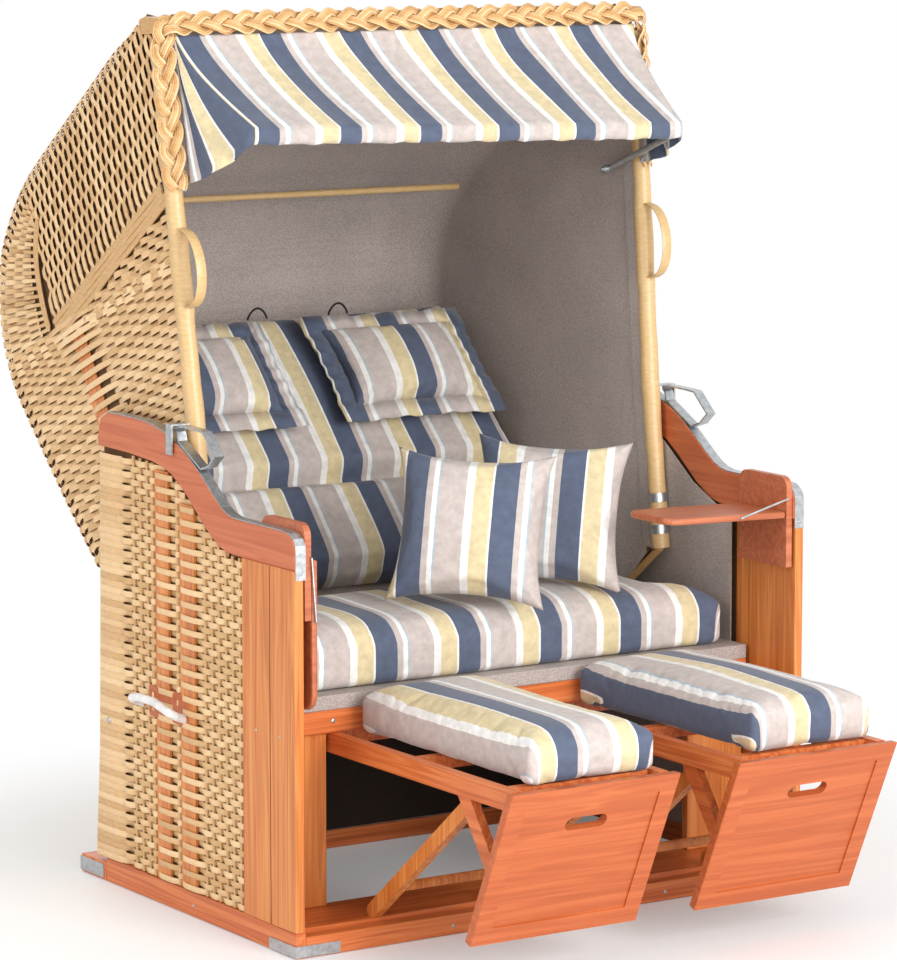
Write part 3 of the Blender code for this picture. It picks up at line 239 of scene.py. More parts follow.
def lining_cloth(name, dark, light):
    """Coated mesh lining: a dense grid of small eyelets, matt."""
    made, tree, shader = blank_material(name)
    place = node(tree, "ShaderNodeTexCoord").outputs["Object"]
    cells = node(tree, "ShaderNodeTexVoronoi", {"feature": "F1"}, {
        "Vector": place, "Scale": 330.0, "Randomness": 0.8})
    cloud = node(tree, "ShaderNodeTexNoise", inputs={"Vector": place, "Scale": 5.0, "Detail": 3.0})
    dots = ramp(tree, cells.outputs["Distance"], [(0.15, light), (0.62, dark)])
    shade = ramp(tree, cloud.outputs["Fac"], [(0.3, "#e9e9e9"), (0.7, "#ffffff")])
    colour = mixed(tree, 1.0, dots, shade, "MULTIPLY")
    tree.links.new(colour, shader.inputs["Base Color"])
    shader.inputs["Roughness"].default_value = 0.85
    bumped(tree, shader, cells.outputs["Distance"], 0.12, 0.0004)
    return made


STRIPE_REPEAT = 0.165
STRIPES = [(0.0, "#525c72"), (0.261, "#c5b9b3"), (0.331, "#eeece8"), (0.383, "#a9c0ce"), (0.400, "#c5b9b3"),
           (0.697, "#eeece8"), (0.784, "#dac99f"), (0.976, "#eeece8")]


def striped_canvas(name):
    """Yarn-dyed outdoor canvas: the stripes follow the cloth's own map, plain weave, soft sheen."""
    made, tree, shader = blank_material(name)
    cloth = node(tree, "ShaderNodeUVMap", {"uv_map": "cloth"}).outputs["UV"]
    parts = node(tree, "ShaderNodeSeparateXYZ", inputs={"Vector": cloth})
    share = maths(tree, "FRACT", maths(tree, "DIVIDE", parts.outputs["X"], STRIPE_REPEAT))
    colour = ramp(tree, share, STRIPES, "CONSTANT")
    # threads 0.6 mm apart are too fine to show, so they are drawn 1.6 mm apart
    wide = node(tree, "ShaderNodeMapping", inputs={"Vector": cloth, "Scale": (1 / 0.0016, 1 / 0.0016, 1.0)})
    thread = node(tree, "ShaderNodeTexChecker", inputs={"Vector": wide.outputs["Vector"], "Scale": 1.0})
    slub = noise(tree, (60.0, 60.0, 60.0), 4.0, 0.6)
    shade = ramp(tree, slub, [(0.32, "#e4e4e4"), (0.68, "#ffffff")])
    tree.links.new(mixed(tree, 1.0, colour, shade, "MULTIPLY"), shader.inputs["Base Color"])
    height = maths(tree, "ADD", thread.outputs["Fac"], maths(tree, "MULTIPLY", slub, 2.0))
    bumped(tree, shader, height, 0.10, 0.0008)
    shader.inputs["Roughness"].default_value = 0.80
    shader.inputs["Sheen Weight"].default_value = 0.15
    shader.inputs["Sheen Roughness"].default_value = 0.5
    return made


def galvanised(name):
    """Zinc-plated steel: pale, faintly clouded by the plating."""
    made, tree, shader = blank_material(name)
    cloud = noise(tree, (120.0, 120.0, 120.0), 4.0)
    tree.links.new(ramp(tree, cloud, [(0.3, "#a9adb0"), (0.7, "#c9ccce")]), shader.inputs["Base Color"])
    roughened(tree, shader, cloud, 0.34)
    shader.inputs["Metallic"].default_value = 0.92
    return made


def soft_vinyl(name, colour, roughness=0.38):
    """Plain matt or satin stuff in one colour, faintly mottled."""
    made, tree, shader = blank_material(name)
    shade = ramp(tree, noise(tree, (40.0, 40.0, 40.0), 3.0), [(0.3, "#e2e2e2"), (0.7, "#ffffff")])
    tree.links.new(mixed(tree, 1.0, linear(colour), shade, "MULTIPLY"), shader.inputs["Base Color"])
    shader.inputs["Roughness"].default_value = roughness
    return made


FINISHES = {
    "pine_across": lambda: stained_timber("glazed_pine_across", 0, "#b45824", "#cf6c31", "#e0854a"),
    "pine_deep": lambda: stained_timber("glazed_pine_deep", 1, "#b05426", "#c96731", "#da8148"),
    "pine_upright": lambda: stained_timber("glazed_pine_upright", 2, "#b4622a", "#c97634", "#dc8f4a"),
    "plywood": lambda: stained_timber("glazed_plywood", 0, "#a95225", "#b5592a", "#c26837"),
    "arm_beech": lambda: stained_timber("glazed_beech_arm", 1, "#b3562e", "#be633a", "#ca7247"),
    "table_beech": lambda: stained_timber("glazed_beech_table", 0, "#a45431", "#b4633f", "#c1724b"),
    "cane_strip": lambda: woven_strip("extruded_cane_strip", "#c39863", "#dcb583", "#eccb9c"),
    "peeled_cane": lambda: woven_strip("peeled_cane", "#c8a470", "#dbbd8c", "#e8d0aa", 0.36),
    "plait_cane": lambda: woven_strip("plaited_cane", "#bd8f58", "#d8ad76", "#e7c598", 0.40),
    "hood_lining": lambda: lining_cloth("coated_mesh_lining", "#a69a93", "#c3b8b2"),
    # dark brown painted shadow: a sheet behind the weaves standing for the shade seen through their gaps
    "shadow_back": lambda: soft_vinyl("painted_shadow_backing", "#6b4b2b", 0.9),
    "stripes": lambda: striped_canvas("yarn_dyed_canvas"),
    "zinc": lambda: galvanised("galvanised_steel"),
    "white_vinyl": lambda: soft_vinyl("white_vinyl_tube", "#f0eeee"),
    # near-black painted shade: stands for the unlit space inside the base, seen through the back weave
    "unlit_back": lambda: soft_vinyl("unlit_back", "#24160c", 0.9),
    # painted shadow: a thin dark strip standing for the shade in the gap between two boards
    "painted_seam_shadow": lambda: soft_vinyl("painted_seam_shadow", "#5a2c14", 0.8),
    "black_elastic": lambda: soft_vinyl("black_elastic_cord", "#1c1c1e", 0.7),
}
made_finishes = {}


def finish(name):
    """One material, built the first time that it is asked for."""
    if name not in made_finishes:
        made_finishes[name] = FINISHES[name]()
    return made_finishes[name]


def cleaned(mesh, weld=0.0, outward=True):
    """Joins points that lie closer than weld and turns the faces outward."""
    shape = bmesh.new()
    shape.from_mesh(mesh)
    if weld:
        bmesh.ops.remove_doubles(shape, verts=shape.verts[:], dist=weld)
    if outward:
        bmesh.ops.recalc_face_normals(shape, faces=shape.faces[:])
    shape.to_mesh(mesh)
    shape.free()


def carried(mesh):
    """A passing object that holds a mesh while modifiers work on it."""
    carrier = bpy.data.objects.new("carrier", mesh)
    bpy.context.scene.collection.objects.link(carrier)
    return carrier


def add_piece(name, points, faces, look, body, replaced=()):
    """A finished piece from points in the shared frame; it rides on its body."""
    mesh = bpy.data.meshes.new(name)
    mesh.from_pydata([tuple(p) for p in points], [], faces)
    mesh.validate()
    cleaned(mesh)
    return wrap_mesh(name, mesh, look, body, replaced, 40.0)


def wrap_mesh(name, mesh, look, body, replaced=(), smooth=40.0):
    """Puts a mesh into the scene as a piece of one body."""
    if look:
        mesh.materials.clear()
        mesh.materials.append(finish(look))
    mesh.shade_smooth()
    if smooth:
        mesh.set_sharp_from_angle(angle=math.radians(smooth))
    piece = bpy.data.objects.new(name, mesh)
    bpy.context.scene.collection.objects.link(piece)
    if body:
        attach(piece, body)
    if replaced:
        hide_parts(*replaced)
    return piece


def baked(piece):
    """The plain mesh that a piece's modifiers make; the piece itself goes."""
    bpy.context.view_layer.update()
    graph = bpy.context.evaluated_depsgraph_get()
    mesh = bpy.data.meshes.new_from_object(piece.evaluated_get(graph))
    bpy.data.objects.remove(piece, do_unlink=True)
    return mesh


def paint(look, *names):
    """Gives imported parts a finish."""
    for name in names:
        mesh = frame["nodes"][name].data
        mesh.materials.clear()
        mesh.materials.append(finish(look))


def both(name):
    return f"{name}_left", f"{name}_right"


def prism_faces(count, flipped=False):
    """Both ends and the walls of a prism, whose points are one outline after the other."""
    ends = [list(range(count)), list(range(2 * count - 1, count - 1, -1))]
    if flipped:
        ends = [end[::-1] for end in ends]
    return ends + [[i, (i + 1) % count, count + (i + 1) % count, count + i] for i in range(count)]


def prism_mesh(outline, x0, x1):
    """Points and faces of a (depth, height) outline drawn across."""
    points = [at(x0, y, z) for y, z in outline] + [at(x1, y, z) for y, z in outline]
    return points, prism_faces(len(outline))


def merged(parts):
    """Several (points, faces) as one."""
    points, faces = [], []
    for more, their in parts:
        start = len(points)
        points += list(more)
        faces += [[start + i for i in face] for face in their]
    return points, faces


def box_mesh(xs, ys, zs):
    return prism_mesh([(ys[0], zs[0]), (ys[1], zs[0]), (ys[1], zs[1]), (ys[0], zs[1])], xs[0], xs[1])


# Weaving: python lays out the rows, the node tree bows them over and under the stakes and gives them body.
def strand_tree():
    """Turns rows into flat strands that pass over and under."""
    name = "woven_strands"
    if name in bpy.data.node_groups:
        return bpy.data.node_groups[name]
    tree = bpy.data.node_groups.new(name, "GeometryNodeTree")
    sockets = tree.interface
    sockets.new_socket(name="Geometry", in_out="INPUT", socket_type="NodeSocketGeometry")
    for label, kind, value in (("Strip width", "NodeSocketFloat", 0.0110),
                               ("Strip thickness", "NodeSocketFloat", 0.0014),
                               ("Bow", "NodeSocketFloat", 1.0), ("Seed", "NodeSocketInt", 7)):
        sockets.new_socket(name=label, in_out="INPUT", socket_type=kind).default_value = value
    sockets.new_socket(name="Finish", in_out="INPUT", socket_type="NodeSocketMaterial")
    sockets.new_socket(name="Geometry", in_out="OUTPUT", socket_type="NodeSocketGeometry")
    given = node(tree, "NodeGroupInput").outputs
    curve = node(tree, "GeometryNodeMeshToCurve", inputs={"Mesh": given["Geometry"]}).outputs["Curve"]
    read = {}
    for label, kind in (("face", "FLOAT_VECTOR"), ("phase", "FLOAT"), ("reach", "FLOAT"), ("wide", "FLOAT")):
        read[label] = node(tree, "GeometryNodeInputNamedAttribute", {"data_type": kind},
                           {"Name": label}).outputs["Attribute"]
    wave = maths(tree, "MULTIPLY", maths(tree, "SINE", read["phase"]), 1.35)
    wave = node(tree, "ShaderNodeClamp", inputs={"Value": wave, "Min": -1.0, "Max": 1.0}).outputs["Result"]
    lift = maths(tree, "MULTIPLY", maths(tree, "MULTIPLY", wave, read["reach"]), given["Bow"])
    offset = node(tree, "ShaderNodeVectorMath", {"operation": "SCALE"}, {0: read["face"], "Scale": lift})
    random = node(tree, "FunctionNodeRandomValue", {"data_type": "FLOAT"}, {"Seed": given["Seed"]})
    curve = node(tree, "GeometryNodeStoreNamedAttribute", {"data_type": "FLOAT", "domain": "CURVE"},
                 {"Geometry": curve, "Name": "tone", "Value": random.outputs[1]}).outputs["Geometry"]
    curve = node(tree, "GeometryNodeSetPosition", inputs={
        "Geometry": curve, "Offset": offset.outputs["Vector"]})
    curve = node(tree, "GeometryNodeSetCurveNormal", {"mode": "FREE"},
                 {"Curve": curve.outputs["Geometry"], "Normal": read["face"]}).outputs["Curve"]
    profile = node(tree, "GeometryNodeCurvePrimitiveQuadrilateral", {"mode": "RECTANGLE"},
                   {"Width": given["Strip thickness"], "Height": given["Strip width"]}).outputs["Curve"]
    round_off = maths(tree, "MULTIPLY", given["Strip thickness"], 0.45)
    profile = node(tree, "GeometryNodeFilletCurve", {"mode": "POLY"},
                   {"Curve": profile, "Count": 1, "Radius": round_off})
    strands = node(tree, "GeometryNodeCurveToMesh", inputs={
        "Curve": curve, "Profile Curve": profile.outputs["Curve"], "Scale": read["wide"], "Fill Caps": True})
    real = node(tree, "GeometryNodeRealizeInstances", inputs={"Geometry": strands.outputs["Mesh"]})
    done = node(tree, "GeometryNodeSetMaterial", inputs={
        "Geometry": real.outputs["Geometry"], "Material": given["Finish"]})
    node(tree, "NodeGroupOutput", inputs={"Geometry": done.outputs["Geometry"]})
    return tree


def run_tree(tree, mesh, values):
    """The plain mesh that a node tree makes from a mesh; values are keyed by socket name."""
    carrier = carried(mesh)
    step = carrier.modifiers.new("tree", "NODES")
    step.node_group = tree
    keys = {s.name: s.identifier for s in tree.interface.items_tree if s.in_out == "INPUT"}
    for label, value in values.items():
        step[keys[label]] = value
    return baked(carrier)


def weave(name, rows, look, body, width=0.0110, thickness=0.0014, replaced=()):
    """One piece of weaving. A row is (points, faces out, phases, reaches, widths)."""
    points, edges, data = [], [], {"face": [], "phase": [], "reach": [], "wide": []}
    for line, face, phase, reach, wide in rows:
        start = len(points)
        points += [tuple(p) for p in line]
        edges += [(start + i, start + i + 1) for i in range(len(line) - 1)]
        data["face"] += [tuple(f) for f in face]
        data["phase"] += list(phase)
        data["reach"] += list(reach)
        data["wide"] += list(wide)
    mesh = bpy.data.meshes.new(name + "_rows")
    mesh.from_pydata(points, edges, [])
    for label, values in data.items():
        kind, field = ("FLOAT_VECTOR", "vector") if label == "face" else ("FLOAT", "value")
        layer = mesh.attributes.new(label, kind, "POINT")
        layer.data.foreach_set(field, np.array(values, np.float32).ravel())
    done = run_tree(strand_tree(), mesh, {
        "Strip width": width, "Strip thickness": thickness, "Finish": finish(look)})
    for label in data:
        if label in done.attributes:
            done.attributes.remove(done.attributes[label])
    return wrap_mesh(name, done, None, body, replaced, 50.0)


# Base side panels: bounds between stakes, from the front; wide zones hold laths and stay open
ZONES = [0.1815, 0.2059, 0.2303, 0.2548, 0.2792, 0.3036, 0.3280, 0.4085, 0.4185, 0.4960, 0.5110,
         0.5360, 0.5610, 0.5860, 0.6180]
ZONE_REACH = [0.0023] * 6 + [0.0050, 0.0035, 0.0050, 0.0035] + [0.0023] * 3 + [0.0050]
LATHS = ((0.353, 0.404), (0.446, 0.493))
WEAVE_DEPTH = 0.0050
STRAND_CREST = 0.0008


def rear_edge(z):
    return float(np.interp(z, [p[0] for p in PANEL_REAR], [p[1] for p in PANEL_REAR]))


def arm_under(y):
    return float(np.interp(y, [p[0] for p in ARM_UNDER], [p[1] for p in ARM_UNDER]))


def row_front(z):
    """Where a row of the side panel starts: at the boards, or under the slope of the armrest."""
    if z < 0.672:
        return ZONES[0]
    heights = [p[1] for p in ARM_UNDER]
    depths = [p[0] for p in ARM_UNDER]
    return max(ZONES[0], float(np.interp(z + 0.005, heights, depths)))


def side_panel_rows(sign):
    rows = []
    count = int((0.806 - 0.051) / ROW_PITCH)
    for k in range(count + 1):
        z = 0.051 + k * ROW_PITCH
        start, end = row_front(z), rear_edge(z)
        line, face, phase, reach, wide = [], [], [], [], []
        for i in range(len(ZONES) - 1):
            low, high = ZONES[i], ZONES[i + 1]
            steps = 8 if high - low > 0.05 else 4
            for j in range(steps):
                y = low + (high - low) * j / steps
                if y < start:
                    continue
                line.append(at(sign * (HALF_WIDTH - STRAND_CREST - WEAVE_DEPTH), y, z))
                phase.append(math.pi * (i + j / steps + k))
                reach.append(ZONE_REACH[i] if 0 < j else (ZONE_REACH[i] + ZONE_REACH[max(i - 1, 0)]) / 2)
                wide.append(1.0)
                face.append((sign, 0.0, 0.0))
        for y, lift in ((0.6180, 0.0), (0.6300, 0.0035), (0.6480, 0.0050), (end - 0.010, 0.0050)):
            line.append(at(sign * (HALF_WIDTH - STRAND_CREST - WEAVE_DEPTH + lift), y, z))
            face.append((sign, 0.0, 0.0))
        for turn in (30, 60, 90):
            a = math.radians(turn)
            line.append(at(sign * (HALF_WIDTH - STRAND_CREST - 0.009 + 0.009 * math.cos(a)),
                           end - 0.010 + 0.009 * math.sin(a), z))
            face.append((sign * math.cos(a), math.sin(a), 0.0))
        line.append(at(sign * (PANEL_IN + 0.002), end - 0.001, z))
        face.append((0.0, 1.0, 0.0))
        tail = len(line) - len(phase)
        phase += [0.0] * tail
        reach += [0.0] * tail
        wide += [1.12] * tail
        rows.append((line, face, phase, reach, wide))
    return rows


def flare_at(z):
    """How much wider the hood is at one height."""
    return 1 + FLARE * min(max((z - FLARE_FROM) / (HOOD_HEIGHT - FLARE_FROM), 0.0), 1.0)


def post_front(z):
    """Depth of the front of the hood posts at one height."""
    (y0, z0), (y1, z1) = POST_LOW, POST_TOP
    return y0 + (z - z0) * (y1 - y0) / (z1 - z0)


def smoothed(points, steps):
    """A curve through the points, each span cut into steps."""
    ends = [2 * points[0] - points[1]] + list(points) + [2 * points[-1] - points[-2]]
    line = []
    for i in range(1, len(ends) - 2):
        a, b, c, d = ends[i - 1:i + 3]
        for k in range(steps):
            t = k / steps
            line.append(0.5 * (2 * b + (c - a) * t + (2 * a - 5 * b + 4 * c - d) * t ** 2
                               + (3 * b - 3 * c + d - a) * t ** 3))
    return line + [points[-1]]


def hood_curve():
    """The hood's side view, finely stepped: points, ways out, rounding shares and distance along it."""
    line = smoothed([np.array(p) for p in HOOD_PROFILE], 6)
    share = smoothed([np.array([s]) for s in HOOD_SHARES], 6)
    line = np.array(line)
    tangent = np.gradient(line, axis=0)
    tangent /= np.linalg.norm(tangent, axis=1)[:, None]
    out = np.stack([-tangent[:, 1], tangent[:, 0]], axis=1)
    share = np.clip(np.array(share)[:, 0], 0.0, 1.0)
    outside = line + out * (EDGE_IN + EDGE_ROUND) * share[:, None]
    run = np.concatenate([[0.0], np.cumsum(np.linalg.norm(np.diff(outside, axis=0), axis=1))])
    return line, out, share, run


CURVE, CURVE_OUT, CURVE_SHARE, CURVE_RUN = hood_curve()
HOOD_RUN = float(CURVE_RUN[-1])


def along_hood(run, offset=0.0):
    """(depth, height) on the hood's side view at a distance from its front top edge, and the way out."""
    def pick(column):
        return float(np.interp(run, CURVE_RUN, column))
    out = Vector((pick(CURVE_OUT[:, 0]), pick(CURVE_OUT[:, 1]))).normalized()
    return Vector((pick(CURVE[:, 0]), pick(CURVE[:, 1]))) + out * offset * pick(CURVE_SHARE), out


def hood_surface(run, turn, inset=0.0):
    """A place and the way out on the rounded rear edge of the right side; turn 0 is the side, 90 the back."""
    a = math.radians(turn)
    flat, out = along_hood(run, EDGE_IN + EDGE_ROUND * math.sin(a))
    flat = flat - out * inset * math.sin(a)
    x = HOOD_HALF - EDGE_ROUND + (EDGE_ROUND - inset) * math.cos(a)
    face = Vector((math.cos(a), out.x * math.sin(a), out.y * math.sin(a)))
    return at(x * flare_at(flat.y), flat.x, flat.y), face


RIDGE_WAY = (Vector(RIDGE[1]) - Vector(RIDGE[0])).normalized()
RIDGE_UP = Vector((-RIDGE_WAY.y, RIDGE_WAY.x))
RIDGE_LONG = (Vector(RIDGE[1]) - Vector(RIDGE[0])).length
HUB_FROM = 1.215
HUB_TO = 0.930
CRESCENT = [(0.985, 1.205), (0.996, 1.146), (0.990, 1.090), (0.972, 1.036), (0.953, 0.996)]
FIRST_STAKE = 0.070
UPPER_ZONES = 7
LADDER_LEFT = (Vector((0.956, 0.985)), Vector((0.786, 0.852)), Vector((-0.72, -0.69)))
LADDER_RIGHT = (Vector((0.767, 1.035)), Vector((0.679, 0.896)), Vector((-0.40, -0.91)))
LADDER_LATH = (Vector((0.852, 1.007)), Vector((0.736, 0.822)))
REAR_ZONES = 6
FRONT_ZONES = 9
CORNER_ZONES = 5
BACK_ZONES = 31
HOOD_REACH = 0.0034
HOOD_INSET = 0.0046
HOOD_STRIP = 0.0121
HOOD_ROW = ROW_PITCH * 1.018
FIRST_RUN = 0.010
LAST_RUN = HOOD_RUN - 0.006
# how far from the front top edge the roof ends and the rear begins
ROOF_RUN = 0.62
HOOD_FOOT = 0.456


def meeting(start, way, line):
    """How far along a strand it meets a border, whose lower half bends to a second direction."""
    top, bend, low = line
    found = []
    for base, side in ((bend, bend - top), (bend, low)):
        cross = way.x * side.y - way.y * side.x
        gap = base - start
        found.append((gap.x * side.y - gap.y * side.x) / cross)
    place = start + way * found[0]
    return found[0] if place.y > bend.y else found[1]


def hub_target(height):
    """Where on the crescent a strand of the fan ends, from the height at which it starts."""
    share = min(max((HUB_FROM - height) / (HUB_FROM - HUB_TO), 0.0), 1.0) * (len(CRESCENT) - 1)
    step = min(int(share), len(CRESCENT) - 2)
    return Vector(CRESCENT[step]).lerp(Vector(CRESCENT[step + 1]), share - step)


def side_strand(start, index):
    """One strand of the hood's side: places inward from its start, with how far each lies in the rhythm."""
    high = (start - Vector(RIDGE[0])).dot(RIDGE_UP)
    drop = (high - 0.024) / UPPER_LEAN.dot(RIDGE_UP)
    foot = start - UPPER_LEAN * drop
    if (foot - Vector(RIDGE[0])).dot(RIDGE_WAY) < RIDGE_LONG + 0.012:
        way = -UPPER_LEAN
        limit = drop
        scale = -way.dot(RIDGE_UP)

        def zone(w):
            u = high - w * scale
            if u > FIRST_STAKE:
                return UPPER_ZONES * (high - u) / (high - FIRST_STAKE)
            return UPPER_ZONES + (FIRST_STAKE - u) / (FIRST_STAKE - 0.024)

        reach = {UPPER_ZONES: 0.0048}
    elif start.y > HUB_TO:
        away = start - hub_target(start.y)
        far = away.length
        way = -away.normalized()
        limit = far - (0.002 if index % 2 == 0 else 0.030)

        def zone(w):
            return 4 * w / far

        reach = {}
    else:
        way = LOWER_LEAN
        limit = 1.2
        left, right = meeting(start, way, LADDER_LEFT), meeting(start, way, LADDER_RIGHT)
        post = post_meeting(start, way)

        def zone(w):
            if w < left:
                return REAR_ZONES * w / left
            if w < right:
                return REAR_ZONES + (w - left) / (right - left)
            return REAR_ZONES + 1 + FRONT_ZONES * (w - right) / max(post - right, 0.01)

        reach = {REAR_ZONES: 0.0048, REAR_ZONES + FRONT_ZONES: 0.0046}
    return way, stopped(start, way, limit), zone, reach


def post_meeting(start, way):
    """How far along a strand it meets the hood post."""
    (y0, z0), (y1, z1) = POST_LOW, POST_TOP
    side = Vector((y1 - y0, z1 - z0))
    gap = Vector((y0 + 0.010, z0)) - start
    return (gap.x * side.y - gap.y * side.x) / (way.x * side.y - way.y * side.x)


def stopped(start, way, limit):
    """The strand ends at the post or at the bottom of the hood."""
    post = post_meeting(start, way)
    if 0.0 < post < limit:
        limit = post
    if way.y < 0.0:
        limit = min(limit, (start.y - HOOD_FOOT) / -way.y)
    return max(limit, 0.0)


def strand_places(limit, zone, quarter):
    """Distances at which the rhythm reaches whole fractions."""
    fine = np.linspace(0.0, limit, max(int(limit / 0.004), 3))
    zones = np.array([zone(w) for w in fine])
    steps = np.arange(0.0, zones[-1], quarter)
    if not len(steps) or zones[-1] - steps[-1] > quarter / 4:
        steps = np.append(steps, zones[-1])
    return np.interp(steps, zones, fine), steps


def slim(phase):
    """Strands are squeezed narrower where they change sides."""
    return 0.90 + 0.10 * abs(math.sin(phase))


def hood_side_rows(sign):
    rows = []
    # the first three have no part on the roof: they start below the end of the top rail
    k = -3
    run = FIRST_RUN - 3 * HOOD_ROW
    while run < LAST_RUN:
        line, face, phase, reach, wide = [], [], [], [], []
        start = along_hood(run, EDGE_IN)[0] if k >= 0 else Vector((0.5425 + 0.0133 * k, 1.580))
        way, limit, zone, reaches = side_strand(start, k)
        for j in range(CORNER_ZONES * 3 if k >= 0 else 0, 0, -1):
            place, out = hood_surface(run, 90 * j / (CORNER_ZONES * 3), HOOD_INSET)
            line.append(place)
            face.append(out)
            phase.append(math.pi * (k - j / 3))
            reach.append(HOOD_REACH)
        places, steps = strand_places(limit, zone, 0.25)
        for w, step in zip(places, steps):
            flat = start + way * w
            line.append(at((HOOD_HALF - HOOD_INSET) * flare_at(flat.y), flat.x, flat.y))
            face.append(Vector((1.0, 0.0, 0.0)))
            phase.append(math.pi * (k + step))
            reach.append(reaches.get(int(step + 0.001), HOOD_REACH))
        fan = way != -UPPER_LEAN and way != LOWER_LEAN
        wide = [slim(p) * (1.0 - 0.5 * (n / len(phase)) ** 2 if fan else 1.0) for n, p in enumerate(phase)]
        if sign < 0:
            line = [Vector((-p.x, p.y, p.z)) for p in line]
            face = [Vector((-f.x, f.y, f.z)) for f in face]
        rows.append((line, face, phase, reach, wide))
        run += HOOD_ROW
        k += 1
    # short strands between the post and the ridge
    for m in range(8):
        z = 1.169 + m * 0.0123
        start = Vector((post_front(z) + 0.010, z))
        gap = (start - Vector(RIDGE[0])).dot(RIDGE_UP)
        limit = (gap + 0.022) / LOWER_LEAN.dot(RIDGE_UP)
        count = max(int(abs(limit) / 0.0072), 2)
        line, face, phase = [], [], []
        for j in range(count + 1):
            flat = start - LOWER_LEAN * abs(limit) * j / count
            line.append(at(sign * (HOOD_HALF - HOOD_INSET) * flare_at(flat.y), flat.x, flat.y))
            face.append(Vector((sign, 0.0, 0.0)))
            phase.append(math.pi * (m + abs(limit) * j / count / 0.029))
        rows.append((line, face, phase, [0.004] * len(line), [slim(p) for p in phase]))
    return rows


def hood_back_rows(first, last):
    """Rows across the back; each one carries on from the strands of the two sides."""
    rows = []
    k = 0
    run = FIRST_RUN
    while run < LAST_RUN:
        if first <= run < last:
            line, face, phase = [], [], []
            place, out = hood_surface(run, 90, HOOD_INSET)
            for j in range(BACK_ZONES * 4 + 1):
                line.append(Vector((place.x * (1 - 2 * j / (BACK_ZONES * 4)), place.y, place.z)))
                face.append(out)
                phase.append(math.pi * (k - CORNER_ZONES - j / 4))
            rows.append((line, face, phase, [HOOD_REACH] * len(line), [slim(p) for p in phase]))
        run += HOOD_ROW
        k += 1
    return rows


def ribbon(name, centre, across, half, face, thickness, look, body, crown=0.0, ends=1.0):
    """A band along a path: centre, the way across it and the way out at each place."""
    points, faces = [], []
    count = len(centre)
    for i, (c, a, f) in enumerate(zip(centre, across, face)):
        h = half * (ends if i in (0, count - 1) else 1.0)
        for u in (-1.0, -0.6, 0.0, 0.6, 1.0):
            points.append(c + a * h * u + f * (thickness + crown * (1 - u * u)))
        for u in (1.0, -1.0):
            points.append(c + a * h * u)
    for i in range(count - 1):
        for j in range(7):
            m = (j + 1) % 7
            faces.append([i * 7 + j, i * 7 + m, (i + 1) * 7 + m, (i + 1) * 7 + j])
    faces.append(list(range(7)))
    faces.append([(count - 1) * 7 + j for j in range(6, -1, -1)])
    return add_piece(name, points, faces, look, body)


def rod_mesh(path, radius, sides=12):
    """Points and faces of a round rod along a path; radius is one number or one per place."""
    path = [Vector(p) for p in path]
    points, faces = [], []
    across = None
    for i, here in enumerate(path):
        ahead = (path[min(i + 1, len(path) - 1)] - path[max(i - 1, 0)]).normalized()
        if across is None:
            across = ahead.orthogonal().normalized()
        across = (across - ahead * across.dot(ahead)).normalized()
        up = ahead.cross(across)
        r = radius[i] if isinstance(radius, (list, tuple)) else radius
        for k in range(sides):
            turn = 2 * math.pi * k / sides
            points.append(here + across * r * math.cos(turn) + up * r * math.sin(turn))
    for i in range(len(path) - 1):
        for k in range(sides):
            m = (k + 1) % sides
            faces.append([i * sides + k, i * sides + m, (i + 1) * sides + m, (i + 1) * sides + k])
    faces.append(list(range(sides)))
    faces.append(list(range(len(points) - 1, len(points) - 1 - sides, -1)))
    return points, faces


def rods(name, paths, radius, look, body, sides=12):
    points, faces = merged([rod_mesh(path, radius, sides) for path in paths])
    return add_piece(name, points, faces, look, body)


def hood_lining_mesh():
    """The cloth inside the hood, wall to wall, as one sheet 21 mm in from the outside."""
    inset = SHELL_WALL - 0.001
    runs = np.linspace(0.014, HOOD_RUN, 90)
    turns = np.linspace(0.0, 90.0, 9)
    points, faces = [], []
    for run in runs:
        row = []
        for turn in turns:
            place, _ = hood_surface(run, turn, inset)
            row.append(place)
        row = [Vector((-p.x, p.y, p.z)) for p in row] + row[::-1]
        points += row
    wide = 2 * len(turns)
    for i in range(len(runs) - 1):
        for j in range(wide - 1):
            faces.append([i * wide + j, i * wide + j + 1, (i + 1) * wide + j + 1, (i + 1) * wide + j])
    floor = [(0.660, 0.450), (0.596, 0.450), (0.583, 0.4335), (0.560, 0.4258), (0.541, 0.4310), (0.528, 0.4470),
             (0.4755, 0.4985)]
    front = [(post_front(z) + POST_DEPTH - 0.002, z) for z in np.linspace(0.563, 1.560, 30)]
    for column, sign in ((0, -1), (wide - 1, 1)):
        ring = [i * wide + column for i in range(len(runs) - 1, -1, -1)]
        start = len(points)
        x = HOOD_HALF - inset
        extra = (floor + front)
        points += [at(sign * x * flare_at(z), y, z) for y, z in extra]
        ring = ring[::-1] + list(range(start, start + len(extra)))
        faces.append(ring if sign > 0 else ring[::-1])
    return points, faces


